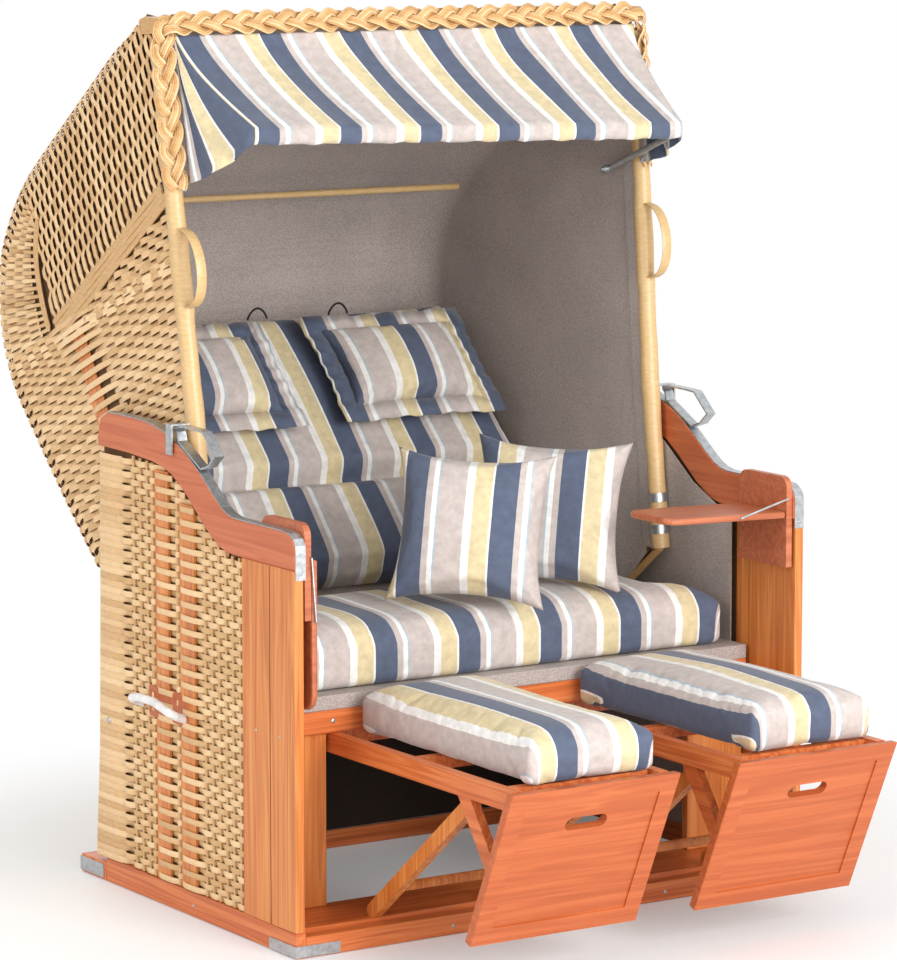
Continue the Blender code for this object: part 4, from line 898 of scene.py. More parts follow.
class CHAIR_OT_stage(bpy.types.Operator):
    """Floor, soft studio light and the camera"""
    bl_idname = "object.beach_chair_stage"
    bl_label = "Stage and Camera"

    def execute(self, context):
        studio = context.scene.beach_chair_studio
        floor_mesh = bpy.data.meshes.new("studio_floor")
        corners = [(x * 30, y * 30, -0.001) for x, y in ((-1, -1), (1, -1), (1, 1), (-1, 1))]
        floor_mesh.from_pydata(corners, [], [(0, 1, 2, 3)])
        made, tree, shader = blank_material("painted_floor")
        shader.inputs["Base Color"].default_value = (*studio.floor_colour, 1.0)
        shader.inputs["Roughness"].default_value = 0.9
        shader.inputs["Specular IOR Level"].default_value = 0.1
        # the floor turns to plain white away from the chair, for the camera alone
        place = node(tree, "ShaderNodeTexCoord").outputs["Object"]
        far = node(tree, "ShaderNodeVectorMath", {"operation": "LENGTH"}, {0: place}).outputs["Value"]
        fade = node(tree, "ShaderNodeMapRange", {"interpolation_type": "SMOOTHSTEP"}, {
            "Value": far, "From Min": 0.8, "From Max": 1.5}).outputs["Result"]
        seen = node(tree, "ShaderNodeLightPath").outputs["Is Camera Ray"]
        plain = node(tree, "ShaderNodeEmission", inputs={"Color": (1.0, 1.0, 1.0, 1.0), "Strength": 1.0})
        # a low value whitens the floor near the chair too; far from it the floor is wholly white
        share = maths(tree, "MULTIPLY", maths(
            tree, "MULTIPLY_ADD", fade, studio.floor_white, 1.0 - studio.floor_white), seen)
        both_ways = node(tree, "ShaderNodeMixShader", inputs={
            0: share, 1: shader.outputs[0], 2: plain.outputs["Emission"]})
        tree.links.new(both_ways.outputs[0], tree.nodes["Material Output"].inputs["Surface"])
        floor_mesh.materials.append(made)
        floor = bpy.data.objects.new("studio_floor", floor_mesh)
        context.scene.collection.objects.link(floor)
        world = bpy.data.worlds.new("studio")
        world.use_nodes = True
        tree = world.node_tree
        tree.nodes.clear()
        seen = node(tree, "ShaderNodeLightPath").outputs
        shown = maths(tree, "MAXIMUM", seen["Is Camera Ray"], maths(tree, "MAXIMUM", seen["Is Glossy Ray"],
                                                                  seen["Is Transmission Ray"]))
        soft = node(tree, "ShaderNodeBackground", inputs={
            "Color": (1.0, 1.0, 1.0, 1.0), "Strength": studio.sky})
        white = node(tree, "ShaderNodeBackground", inputs={"Color": (1.0, 1.0, 1.0, 1.0), "Strength": 1.0})
        both_ways = node(tree, "ShaderNodeMixShader", inputs={
            0: shown, 1: soft.outputs[0], 2: white.outputs[0]})
        node(tree, "ShaderNodeOutputWorld", inputs={"Surface": both_ways.outputs[0]})
        context.scene.world = world
        for label, place, size, power in (("key", (0.6, -5.6, 2.3), 2.4, studio.key),
                                          ("low", (-1.2, -5.2, 0.9), 2.0, studio.key * 0.30),
                                          ("side", (-5.2, -1.6, 2.8), 2.6, studio.side),
                                          ("back", (1.0, 5.0, 3.4), 3.0, studio.side * 0.5)):
            lamp = bpy.data.lights.new(label, "AREA")
            lamp.size = size
            lamp.energy = power
            lit = bpy.data.objects.new(label, lamp)
            lit.location = place
            lit.rotation_mode = "QUATERNION"
            lit.rotation_quaternion = (Vector((0, 0, 0.8)) - Vector(place)).to_track_quat("-Z", "Y")
            context.scene.collection.objects.link(lit)
        lens = bpy.data.cameras.new("camera")
        lens.lens = studio.lens
        lens.sensor_width = 36.0
        camera = bpy.data.objects.new("camera", lens)
        camera.location = at(-4.2395, -6.1971, 1.8848)
        camera.rotation_mode = "QUATERNION"
        camera.rotation_quaternion = Vector((0.5373, 0.8309, -0.1442)).to_track_quat("-Z", "Y")
        lens.clip_end = 100.0
        context.scene.collection.objects.link(camera)
        context.scene.camera = camera
        context.scene.view_settings.view_transform = "Standard"
        return {"FINISHED"}


class CHAIR_OT_timber(bpy.types.Operator):
    """Glazed timber frame, tables, armrests and the small hardware that is already shaped"""
    bl_idname = "object.beach_chair_timber"
    bl_label = "Timber and Fittings"

    def execute(self, context):
        paint("pine_deep", *both("rail_side"), *both("footrest_frame"))
        paint("pine_across", "sill_front", "sill_back", "seat_rail")
        paint("pine_upright", *both("post_board_front"), *both("post_board_rear"), *both("jamb"),
              *both("footrest_strut"))
        paint("plywood", *both("footrest_panel"), *both("handle_block"))
        paint("arm_beech", *both("armrest"))
        paint("table_beech", *both("table"), *both("table_plate"))
        paint("hood_lining", "seat_board", "backrest_board")
        paint("zinc", *both("corner_plate"), *both("arm_strip"), *both("table_stay"), *both("pivot_pin"),
              *both("latch_bracket"), *both("latch_loop"))
        paint("white_vinyl", *both("carry_handle"))
        return {"FINISHED"}


# place, way out and head radius; all of them sit on the base
SCREWS = [
    ((-0.5438, 0.1325, 0.380), (-1, 0, 0), 0.0026), ((-0.5438, 0.0544, 0.380), (-1, 0, 0), 0.0026),
    ((0.5438, 0.1325, 0.380), (1, 0, 0), 0.0026), ((0.5438, 0.0544, 0.380), (1, 0, 0), 0.0026),
    ((-0.5438, 0.3583, 0.020), (-1, 0, 0), 0.0032), ((0.5438, 0.3583, 0.020), (1, 0, 0), 0.0032),
    ((-0.5445, 0.668, 0.306), (-1, 0, 0), 0.0062), ((0.5445, 0.668, 0.306), (1, 0, 0), 0.0062),
    ((-0.2225, -0.0003, 0.016), (0, -1, 0), 0.0034), ((0.2366, -0.0003, 0.016), (0, -1, 0), 0.0034),
    ((-0.386, 0.1347, 0.378), (0, -1, 0), 0.0045), ((0.386, 0.1347, 0.378), (0, -1, 0), 0.0045),
    ((-0.532, -0.0021, 0.672), (0, -1, 0), 0.0030), ((0.532, -0.0021, 0.672), (0, -1, 0), 0.0030),
]


def screw_tree():
    """Domed screw heads: one on every point, turned to the point's own direction."""
    tree = bpy.data.node_groups.new("screw_heads", "GeometryNodeTree")
    face = tree.interface
    face.new_socket("Geometry", in_out="INPUT", socket_type="NodeSocketGeometry")
    face.new_socket("Finish", in_out="INPUT", socket_type="NodeSocketMaterial")
    face.new_socket("Geometry", in_out="OUTPUT", socket_type="NodeSocketGeometry")
    start, end = node(tree, "NodeGroupInput"), node(tree, "NodeGroupOutput")
    head = node(tree, "GeometryNodeMeshUVSphere", inputs={"Segments": 12, "Rings": 6, "Radius": 1.0})
    flat = node(tree, "GeometryNodeTransform", inputs={
        "Geometry": head.outputs["Mesh"], "Scale": (1.0, 1.0, 0.35)})
    way = node(tree, "GeometryNodeInputNamedAttribute", {"data_type": "FLOAT_VECTOR"}, {"Name": "way"})
    size = node(tree, "GeometryNodeInputNamedAttribute", {"data_type": "FLOAT"}, {"Name": "size"})
    turn = node(tree, "FunctionNodeAlignRotationToVector", {"axis": "Z"}, {"Vector": way.outputs["Attribute"]})
    spread = node(tree, "GeometryNodeInstanceOnPoints", inputs={
        "Points": start.outputs["Geometry"], "Instance": flat.outputs["Geometry"],
        "Rotation": turn.outputs["Rotation"], "Scale": size.outputs["Attribute"]})
    real = node(tree, "GeometryNodeRealizeInstances", inputs={"Geometry": spread.outputs["Instances"]})
    done = node(tree, "GeometryNodeSetMaterial", inputs={
        "Geometry": real.outputs["Geometry"], "Material": start.outputs["Finish"]})
    tree.links.new(done.outputs["Geometry"], end.inputs["Geometry"])
    return tree


def screws(body, spots):
    mesh = bpy.data.meshes.new("screw_spots")
    mesh.from_pydata([tuple(at(*place)) for place, _, _ in spots], [], [])
    ways = mesh.attributes.new("way", "FLOAT_VECTOR", "POINT")
    ways.data.foreach_set("vector", np.array([way for _, way, _ in spots], np.float32).ravel())
    sizes = mesh.attributes.new("size", "FLOAT", "POINT")
    sizes.data.foreach_set("value", np.array([size for _, _, size in spots], np.float32))
    done = run_tree(screw_tree(), mesh, {"Finish": finish("zinc")})
    wrap_mesh(f"screws_{body}", done, None, body, [], 60.0)


class CHAIR_OT_fittings(bpy.types.Operator):
    """Screws, painted shadow lines at the board seams, and the rear foot plates"""
    bl_idname = "object.beach_chair_fittings"
    bl_label = "Small Fittings"

    def execute(self, context):
        screws("base", SCREWS)
        for side, sign in SIDES:
            parts = [box_mesh((sign * 0.5438, sign * 0.5450), (0.694, 0.7832), (0.004, 0.030)),
                     box_mesh((sign * 0.4700, sign * 0.5450), (0.7822, 0.7834), (0.004, 0.030))]
            points, faces = merged(parts)
            add_piece(f"rear_foot_plate_{side}", points, faces, "zinc", "base")
            # a thin dark strip where the front and rear post boards meet: painted shadow of the gap
            points, faces = box_mesh((sign * 0.5434, sign * 0.5437), (0.0844, 0.0853), (0.046, 0.674))
            add_piece(f"board_seam_{side}", points, faces, "painted_seam_shadow", "base")
        return {"FINISHED"}


class CHAIR_OT_side_panels(bpy.types.Operator):
    """Woven side panels of the base, with their laths and a backing sheet in painted shadow"""
    bl_idname = "object.beach_chair_side_panels"
    bl_label = "Side Panels"

    def execute(self, context):
        for side, sign in SIDES:
            weave(f"side_weave_{side}", side_panel_rows(sign), "cane_strip", "base",
                  replaced=[f"side_panel_{side}"])
            parts = []
            for y0, y1 in LATHS:
                top = min(arm_under(y0), arm_under(y1)) - 0.004
                x = HALF_WIDTH - WEAVE_DEPTH
                parts.append(box_mesh((sign * (x - 0.0035), sign * (x + 0.0020)), (y0, y1), (0.046, top)))
            points, faces = merged(parts)
            add_piece(f"side_laths_{side}", points, faces, "pine_upright", "base")
            parts = []
            stakes = [(ZONES[i] + ZONES[i + 1]) / 2 for i in (0, 1, 2, 3, 4, 5, 7, 9, 10, 11, 12)]
            for y in stakes:
                parts.append(box_mesh((sign * (x - 0.0016), sign * (x + 0.0016)), (y - 0.003, y + 0.003),
                                      (0.046, arm_under(y) - 0.004)))
            points, faces = merged(parts)
            add_piece(f"side_stakes_{side}", points, faces, "cane_strip", "base")
            # a sheet behind the weave in dark brown painted shadow, seen through the open columns
            outline = [(0.182, 0.0455), (0.726, 0.0455), (0.700, 0.550), (0.697, 0.812), (0.583, 0.8115),
                       (0.465, 0.8015), (0.400, 0.7775), (0.306, 0.7105), (0.232, 0.6775), (0.182, 0.676)]
            points, faces = prism_mesh(outline, sign * (HALF_WIDTH - 0.0140), sign * (HALF_WIDTH - 0.0122))
            add_piece(f"side_shadow_backing_{side}", points, faces, "shadow_back", "base")
        return {"FINISHED"}


class CHAIR_OT_hood(bpy.types.Operator):
    """Woven hood: both sides, roof and rear, with the ridge band and the laths"""
    bl_idname = "object.beach_chair_hood"
    bl_label = "Hood Weave"

    def execute(self, context):
        for side, sign in SIDES:
            weave(f"hood_weave_{side}", hood_side_rows(sign), "cane_strip", "hood", HOOD_STRIP)
        weave("hood_weave_roof", hood_back_rows(0.0, ROOF_RUN), "cane_strip", "hood", HOOD_STRIP)
        weave("hood_weave_rear", hood_back_rows(ROOF_RUN, HOOD_RUN), "cane_strip", "hood", HOOD_STRIP)
        for side, sign in SIDES:
            self.ridge(side, sign)
        return {"FINISHED"}

    def ridge(self, side, sign):
        """The flat band between the two fields, the crescent round its end and the lath of the ladder."""
        def place(flat, out=0.0):
            return at(sign * (HOOD_HALF + out) * flare_at(flat.y), flat.x, flat.y)

        strips = 4
        for n in range(strips):
            shift = RIDGE_UP * RIDGE_WIDTH * ((n + 0.5) / strips - 0.5)
            centre, across, face = [], [], []
            start = Vector(RIDGE[0]) + shift
            start += RIDGE_WAY * (-0.010 if n < 2 else 0.0)
            long = RIDGE_LONG + 0.010
            for i in range(15):
                flat = start + RIDGE_WAY * long * i / 14
                bow = 0.0010 * math.sin(math.pi * (i / 14 * 5 + n * 0.5))
                centre.append(place(flat, -0.0040 + bow))
                across.append(Vector((0.0, RIDGE_UP.x, RIDGE_UP.y)))
                face.append(Vector((sign, 0.0, 0.0)))
            ribbon(f"ridge_strip_{n + 1}_{side}", centre, across, RIDGE_WIDTH / strips / 2 * 0.98, face, 0.0030,
                   "cane_strip", "hood", crown=0.0016)
        centre, across, face = [], [], []
        line = smoothed([Vector(c) for c in CRESCENT], 5)
        for i, flat in enumerate(line):
            along = (line[min(i + 1, len(line) - 1)] - line[max(i - 1, 0)]).normalized()
            centre.append(place(flat, -0.0015))
            across.append(Vector((0.0, -along.y, along.x)))
            face.append(Vector((sign, 0.0, 0.0)))
        ribbon(f"hub_band_{side}", centre, across, 0.0085, face, 0.0015, "cane_strip", "hood", crown=0.0022,
               ends=0.4)
        top, low = LADDER_LATH
        away = (low - top).normalized()
        wide = Vector((-away.y, away.x)) * 0.024
        corners = [top - away * 0.01 + wide, low + wide, low - wide, top - away * 0.01 - wide]
        x0, x1 = HOOD_HALF - 0.0066, HOOD_HALF - 0.0040
        points = [at(sign * x0 * flare_at(p.y), p.x, p.y) for p in corners]
        points += [at(sign * x1 * flare_at(p.y), p.x, p.y) for p in corners]
        add_piece(f"hood_lath_{side}", points, prism_faces(4), "pine_upright", "hood")


class CHAIR_OT_lining(bpy.types.Operator):
    """Grey cloth inside the hood and in the seat well, with its cane rod"""
    bl_idname = "object.beach_chair_lining"
    bl_label = "Linings"

    def execute(self, context):
        points, faces = hood_lining_mesh()
        mesh = bpy.data.meshes.new("hood_lining")
        mesh.from_pydata([tuple(p) for p in points], [], faces)
        cleaned(mesh, 0.0002)
        mesh.materials.append(finish("hood_lining"))
        # the outer face and the rim take the dark brown painted shadow, seen through the gaps of the hood weave
        mesh.materials.append(finish("shadow_back"))
        carrier = carried(mesh)
        thick = carrier.modifiers.new("thick", "SOLIDIFY")
        thick.thickness = 0.0105
        rear = max(mesh.polygons, key=lambda p: p.center.y)
        inward = rear.normal.y < 0
        thick.offset = -1.0 if inward else 1.0
        thick.material_offset = 1 if inward else 0
        thick.material_offset_rim = 1 if inward else 0
        if not inward:
            for face in mesh.polygons:
                face.material_index = 1
            thick.material_offset = -1
        done = baked(carrier)
        wrap_mesh("hood_lining", done, None, "hood", ["hood_shell"], 40.0)
        self.well_linings()
        self.rod()
        return {"FINISHED"}

    def well_linings(self):
        """Cloth on the inner face of each side panel."""
        outline = [(0.183, 0.0455), (0.685, 0.0455), (0.685, 0.8115), (0.583, 0.8105), (0.465, 0.8005),
                   (0.400, 0.7765), (0.306, 0.7095), (0.232, 0.6765), (0.183, 0.675)]
        for side, sign in SIDES:
            points, faces = prism_mesh(outline, sign * (PANEL_IN - 0.0006), sign * (PANEL_IN - 0.0022))
            add_piece(f"well_lining_{side}", points, faces, "hood_lining", "base")

    def rod(self):
        """Cane rod across the inside."""
        z = 1.226
        half = (HOOD_HALF - SHELL_WALL) * flare_at(z) - 0.056
        path = [at(-half + 2 * half * i / 24, 1.000, z) for i in range(25)]
        rods("lining_rod", [path], 0.0065, "peeled_cane", "hood")


class CHAIR_OT_hood_edges(bpy.types.Operator):
    """Plaited top edge, cane posts with steel straps and pull loops, and the laths at their feet"""
    bl_idname = "object.beach_chair_hood_edges"
    bl_label = "Hood Edges"

    def execute(self, context):
        studio = context.scene.beach_chair_cane
        self.plait(studio.plait_pitch)
        self.poles()
        route = ((0.4900, 0.374, 0.577), (0.4900, 0.4100, 0.5500), (0.4890, 0.4755, 0.4985),
                 (0.4890, 0.5280, 0.4480))
        paths = [[at(sign * x, y, z) for x, y, z in route] for _, sign in SIDES]
        rods("hood_foot_laths", paths, 0.0070, "plait_cane", "hood")
        return {"FINISHED"}

    def edge_path(self):
        """Middle of the plait and the way out: up the left post, along the rail, down the right one."""
        line = []
        for z in np.linspace(1.295, 1.548, 14):
            line.append((Vector((-0.5020 * flare_at(z), post_front(z) - 0.001, z)),
                         Vector((-0.70, -0.71, 0.0)).normalized()))
        for angle in (25, 50, 75):
            a = math.radians(angle)
            centre = Vector((-0.491 - 0.030 * math.cos(a), 0.4855, 1.556 + 0.030 * math.sin(a)))
            line.append((centre, Vector((-0.70 * math.cos(a), -0.75, 0.45 * math.sin(a))).normalized()))
        for x in np.linspace(-0.483, 0.483, 50):
            line.append((Vector((x, 0.4865, 1.5862)), Vector((0.0, -0.86, 0.50)).normalized()))
        mirrored = [(Vector((-p.x, p.y, p.z)), Vector((-f.x, f.y, f.z))) for p, f in line[:17]]
        return line + mirrored[::-1]

    def plait(self, pitch):
        path = self.edge_path()
        spots = np.array([tuple(p) for p, _ in path])
        ways = np.array([tuple(f) for _, f in path])
        run = np.concatenate([[0.0], np.cumsum(np.linalg.norm(np.diff(spots, axis=0), axis=1))])
        total = run[-1]
        rows = []
        for strand in range(3):
            for strip in range(4):
                line, face = [], []
                for s in np.arange(0.0, total, 0.0045):
                    here = Vector([float(np.interp(s, run, spots[:, i])) for i in range(3)])
                    out = Vector([float(np.interp(s, run, ways[:, i])) for i in range(3)]).normalized()
                    ahead = Vector([float(np.interp(s + 0.004, run, spots[:, i])
                                          - np.interp(s - 0.004, run, spots[:, i])) for i in range(3)])
                    ahead.normalize()
                    across = out.cross(ahead).normalized()
                    a = 2 * math.pi * (s / pitch + strand / 3)
                    lean = 0.0155 * 2 * math.pi / pitch * math.cos(a)
                    aside = (across - ahead * lean).normalized() * (strip - 1.5) * 0.0041
                    rise = 0.0070 * math.sin(2 * a) - abs(strip - 1.5) * 0.0008
                    line.append(at(*(here + across * 0.0155 * math.sin(a) + aside + out * rise)))
                    face.append(out)
                count = len(line)
                rows.append((line, face, [0.0] * count, [0.0] * count, [1.0] * count))
        weave("edge_plait", rows, "plait_cane", "hood", width=0.0047, thickness=0.0032)
        outline = [(0.4915, 1.5700), (0.5500, 1.5650), (0.5570, 1.5700), (0.5560, 1.5900), (0.5400, 1.5965),
                   (0.5000, 1.5960), (0.4915, 1.5900)]
        points, faces = prism_mesh(outline, -0.5245, 0.5245)
        add_piece("edge_core", points, faces, "plait_cane", "hood", ["hood_top_rail"])

    def poles(self):
        heights = [0.575 + 0.975 * i / 60 for i in range(61)]
        for side, sign in SIDES:
            path = []
            for z in heights:
                waver = 0.0005 * math.sin(z * 61.0)
                path.append(at(sign * (CANE_LINE * flare_at(z) + waver), post_front(z) + CANE_RADIUS, z))
            # slight swellings, and a knot every 0.31 m
            swell = [CANE_RADIUS + 0.0007 * math.sin(z * 23.0)
                     + 0.0010 * math.exp(-((z % 0.31 - 0.15) / 0.006) ** 2) for z in heights]
            points, faces = rod_mesh(path, swell, 20)
            add_piece(f"post_cane_{side}", points, faces, "peeled_cane", "hood")
            # the wall behind the cane, closed by the lining
            parts = []
            for z0, z1 in zip(heights[::6], heights[6::6]):
                corners = [(post_front(z0) + 0.020, z0), (post_front(z0) + 0.053, z0),
                           (post_front(z1) + 0.053, z1), (post_front(z1) + 0.020, z1)]
                points = [at(sign * x * flare_at(z), y, z) for x in (0.4815, 0.4980) for y, z in corners]
                parts.append((points, prism_faces(4, flipped=True)))
            points, faces = merged(parts)
            add_piece(f"post_core_{side}", points, faces, "hood_lining", "hood", [f"hood_post_{side}"])
            self.handle_loop(side, sign)
            bands = []
            for z in (0.602, 0.662):
                lower = at(sign * CANE_LINE, post_front(z) + CANE_RADIUS, z)
                upper = at(sign * CANE_LINE, post_front(z + 0.017) + CANE_RADIUS, z + 0.017)
                bands.append(rod_mesh([lower, upper], 0.0186, 24))
            points, faces = merged(bands)
            add_piece(f"post_straps_{side}", points, faces, "zinc", "hood")

    def handle_loop(self, side, sign):
        """A flat band of cane bent out from the post, to pull the hood by."""
        centre, across, face = [], [], []
        for i in range(25):
            a = math.pi * i / 24
            z = 1.157 + 0.068 * math.cos(a)
            y = post_front(z) + 0.004 - 0.060 * math.sin(a) ** 0.8
            centre.append(at(sign * CANE_LINE * flare_at(z), y, z))
            across.append(Vector((1.0, 0.0, 0.0)))
            face.append(Vector((0.0, -math.sin(a) - 0.05, math.cos(a))).normalized())
        ribbon(f"pull_loop_{side}", centre, across, 0.0095, face, 0.0015, "peeled_cane", "hood", crown=0.0018)
        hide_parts(f"loop_handle_{side}")


class CHAIR_OT_back_panel(bpy.types.Operator):
    """Woven back panel of the base"""
    bl_idname = "object.beach_chair_back_panel"
    bl_label = "Back Panel"

    def execute(self, context):
        rows = []
        y = 0.712 - 0.0045
        half = PANEL_IN - 0.004
        zones = 38
        for k in range(31):
            z = 0.042 + k * ROW_PITCH
            line, face, phase = [], [], []
            for j in range(zones * 4 + 1):
                line.append(at(-half + 2 * half * j / (zones * 4), y, z))
                face.append(Vector((0.0, 1.0, 0.0)))
                phase.append(math.pi * (k + j / 4))
            rows.append((line, face, phase, [0.0026] * len(line), [slim(p) for p in phase]))
        weave("back_weave", rows, "cane_strip", "base", replaced=["back_panel"])
        # a near-black sheet behind the back weave: painted shade of the dark space inside the base
        points, faces = box_mesh((-half, half), (0.688, 0.699), (0.036, 0.418))
        add_piece("back_shade_sheet", points, faces, "unlit_back", "base")
        points, faces = box_mesh((-half, half), (0.700, 0.713), (0.409, 0.420))
        add_piece("back_top_cane", points, faces, "peeled_cane", "base")
        return {"FINISHED"}


# Soft goods
def plan_distance(outline, a, b):
    """Distance from places (a, b) to the nearest edge of a closed outline."""
    best = np.full(a.shape, 1e9)
    count = len(outline)
    for i in range(count):
        p, q = np.array(outline[i]), np.array(outline[(i + 1) % count])
        side = q - p
        t = np.clip(((a - p[0]) * side[0] + (b - p[1]) * side[1]) / (side @ side), 0.0, 1.0)
        best = np.minimum(best, np.hypot(a - p[0] - side[0] * t, b - p[1] - side[1] * t))
    return best


def coordinates(mesh):
    flat = np.empty(len(mesh.vertices) * 3)
    mesh.vertices.foreach_get("co", flat)
    return flat.reshape(-1, 3)


def set_coordinates(mesh, places):
    mesh.vertices.foreach_set("co", np.ascontiguousarray(places).ravel())
    mesh.update()


def voxelled(mesh, size):
    """The mesh rebuilt of even small faces."""
    carrier = carried(mesh)
    step = carrier.modifiers.new("voxels", "REMESH")
    step.mode = "VOXEL"
    step.voxel_size = size
    step.use_smooth_shade = True
    return baked(carrier)


def inflated(mesh, pressure, cap, stiffness=12.0):
    """Cloth filled with foam or down: a short simulation under pressure, with each point's travel capped."""
    scene = bpy.context.scene
    carrier = carried(mesh)
    cloth = carrier.modifiers.new("cloth", "CLOTH")
    cloth.settings.quality = 4
    cloth.settings.mass = 0.25
    cloth.settings.tension_stiffness = stiffness
    cloth.settings.compression_stiffness = stiffness
    cloth.settings.shear_stiffness = stiffness / 3
    cloth.settings.bending_stiffness = 0.4
    cloth.settings.use_pressure = True
    cloth.settings.uniform_pressure_force = pressure
    cloth.settings.effector_weights.gravity = 0.0
    cloth.point_cache.frame_start = 1
    cloth.point_cache.frame_end = 20
    before = coordinates(mesh).copy()
    for count in range(1, 21):
        scene.frame_set(count)
    graph = bpy.context.evaluated_depsgraph_get()
    result = bpy.data.meshes.new_from_object(carrier.evaluated_get(graph))
    bpy.data.objects.remove(carrier, do_unlink=True)
    scene.frame_set(1)
    moved = coordinates(result) - before
    far = np.linalg.norm(moved, axis=1)[:, None]
    limit = cap * np.tanh(far / cap)
    set_coordinates(result, before + moved * limit / np.maximum(far, 1e-9))
    return result


def stripe_map(mesh, first, half, top):
    """The cloth's own map: across the stripes and along them, turned down at both sides if top is given.
    first gives where a dark stripe begins and how far it is to the next."""
    layer = mesh.uv_layers.new(name="cloth")
    places = coordinates(mesh)
    loops = np.empty(len(mesh.loops), np.int32)
    mesh.loops.foreach_get("vertex_index", loops)
    spots = places[loops]
    across = spots[:, 0].copy()
    if top is not None:
        side = np.clip((np.abs(across) - half + 0.024) / 0.012, 0.0, 1.0)
        across += np.sign(across) * side * np.maximum(top - spots[:, 2], 0.0)
    begin, pitch = first
    mapped = np.stack([(across - begin) * STRIPE_REPEAT / pitch, spots[:, 1]], axis=1)
    layer.data.foreach_set("uv", mapped.ravel())


def finished_pad(name, mesh, place, body, replaced, first, half, top):
    stripe_map(mesh, first, half, top)
    mesh.transform(place)
    mesh.materials.clear()
    mesh.materials.append(finish("stripes"))
    piece = wrap_mesh(name, mesh, None, body, replaced, None)
    return piece


def block_pad(name, outline, low, high, crown, place, body, replaced, first, edge, seed, creases=(), tufts=()):
    """A boxed cushion: a rounded slab over its outline, crowned on top, with channels and shallow folds."""
    points = [(a, b, low) for a, b in outline] + [(a, b, high) for a, b in outline]
    mesh = bpy.data.meshes.new(name)
    mesh.from_pydata(points, [], prism_faces(len(outline), flipped=True))
    carrier = carried(mesh)
    bevel = carrier.modifiers.new("edge", "BEVEL")
    bevel.width = edge
    bevel.segments = 4
    bevel.limit_method = "ANGLE"
    mesh = voxelled(baked(carrier), 0.006)
    p = coordinates(mesh)
    middle = (low + high) / 2
    share = np.clip((p[:, 2] - middle) / (high - middle), 0.0, 1.0)
    depth = plan_distance(outline, p[:, 0], p[:, 1])
    dome = 1 - np.exp(-depth / 0.045)
    rise = crown * dome
    rng = np.random.default_rng(seed)
    for _ in range(9):
        ka, kb = rng.uniform(4, 17, 2)
        across = np.sin(ka * p[:, 0] + rng.uniform(0, 6))
        rise += crown * 0.07 * across * np.sin(kb * p[:, 1] + rng.uniform(0, 6)) * dome
    for at_b, deep, wide in creases:
        rise -= deep * np.exp(-((p[:, 1] - at_b) / wide) ** 2) * (0.55 + 0.45 * dome)
    for ta, tb, deep in tufts:
        rise -= deep * np.exp(-((p[:, 0] - ta) ** 2 + (p[:, 1] - tb) ** 2) / 0.0064)
    # small puckers where the top is sewn to the boxing
    pucker = 0.0011 * np.exp(-depth / 0.020) * np.sin(p[:, 0] * 230 + 3 * np.sin(p[:, 1] * 47)) \
        * np.sin(p[:, 1] * 210 + 2 * np.sin(p[:, 0] * 39))
    p[:, 2] += (rise + pucker) * share
    set_coordinates(mesh, p)
    mesh = inflated(mesh, 4.0, 0.016)
    p = coordinates(mesh)
    floor = low + 0.0005
    p[:, 2] = np.maximum(p[:, 2], floor)
    set_coordinates(mesh, p)
    half = max(abs(a) for a, _ in outline)
    return finished_pad(name, mesh, place, body, replaced, first, half, high)


def pillow_pad(name, half, thick, place, body, replaced, first, seed, flange=0.0, ear=0.04):
    """A knife-edged pillow with a sewn edge: fullest in the middle, corners drawn out, folds at the corners."""
    cells = 44
    ha, hb = half
    rng = np.random.default_rng(seed)
    waves = [(rng.uniform(5, 22), rng.uniform(5, 22), rng.uniform(0, 6), rng.uniform(0, 6)) for _ in range(7)]
    points, faces, index = [], [], {}
    for rise in (1, -1):
        for j in range(cells + 1):
            for i in range(cells + 1):
                u, v = 2 * i / cells - 1, 2 * j / cells - 1
                rim = i in (0, cells) or j in (0, cells)
                if rim and rise < 0:
                    index[(i, j, rise)] = index[(i, j, 1)]
                    continue
                a = ha * u * (1 + ear * (v * v - 1))
                b = hb * v * (1 + ear * (u * u - 1))
                dome = max((1 - abs(u) ** 2.5) * (1 - abs(v) ** 2.5), 0.0) ** 0.58
                high = thick / 2 * dome
                fold = sum(math.sin(ka * a * 3 + pa) * math.sin(kb * b * 3 + pb) for ka, kb, pa, pb in waves)
                high += 0.0009 * fold * dome
                corner = max(0.0, abs(u) + abs(v) - 1.1)
                spoke = math.atan2(1 - abs(v), 1 - abs(u) + 1e-6)
                high += 0.0030 * corner * math.sin(spoke * 11 + seed) * dome ** 0.5
                index[(i, j, rise)] = len(points)
                points.append((a, b, high * rise))
    for rise in (1, -1):
        for j in range(cells):
            for i in range(cells):
                quad = [index[(i + di, j + dj, rise)] for di, dj in ((0, 0), (1, 0), (1, 1), (0, 1))]
                faces.append(quad if rise > 0 else quad[::-1])
    mesh = bpy.data.meshes.new(name)
    mesh.from_pydata(points, [], faces)
    mesh = inflated(mesh, 3.0, 0.012, 20.0)
    if flange:
        shape = bmesh.new()
        shape.from_mesh(mesh)
        mesh_points, mesh_faces = flange_mesh(half, flange, ear, seed)
        made = [shape.verts.new(p) for p in mesh_points]
        for face in mesh_faces:
            shape.faces.new([made[k] for k in face])
        bmesh.ops.recalc_face_normals(shape, faces=shape.faces[:])
        shape.to_mesh(mesh)
        shape.free()
    mesh.shade_smooth()
    return finished_pad(name, mesh, place, body, replaced, first, 0.0, None)


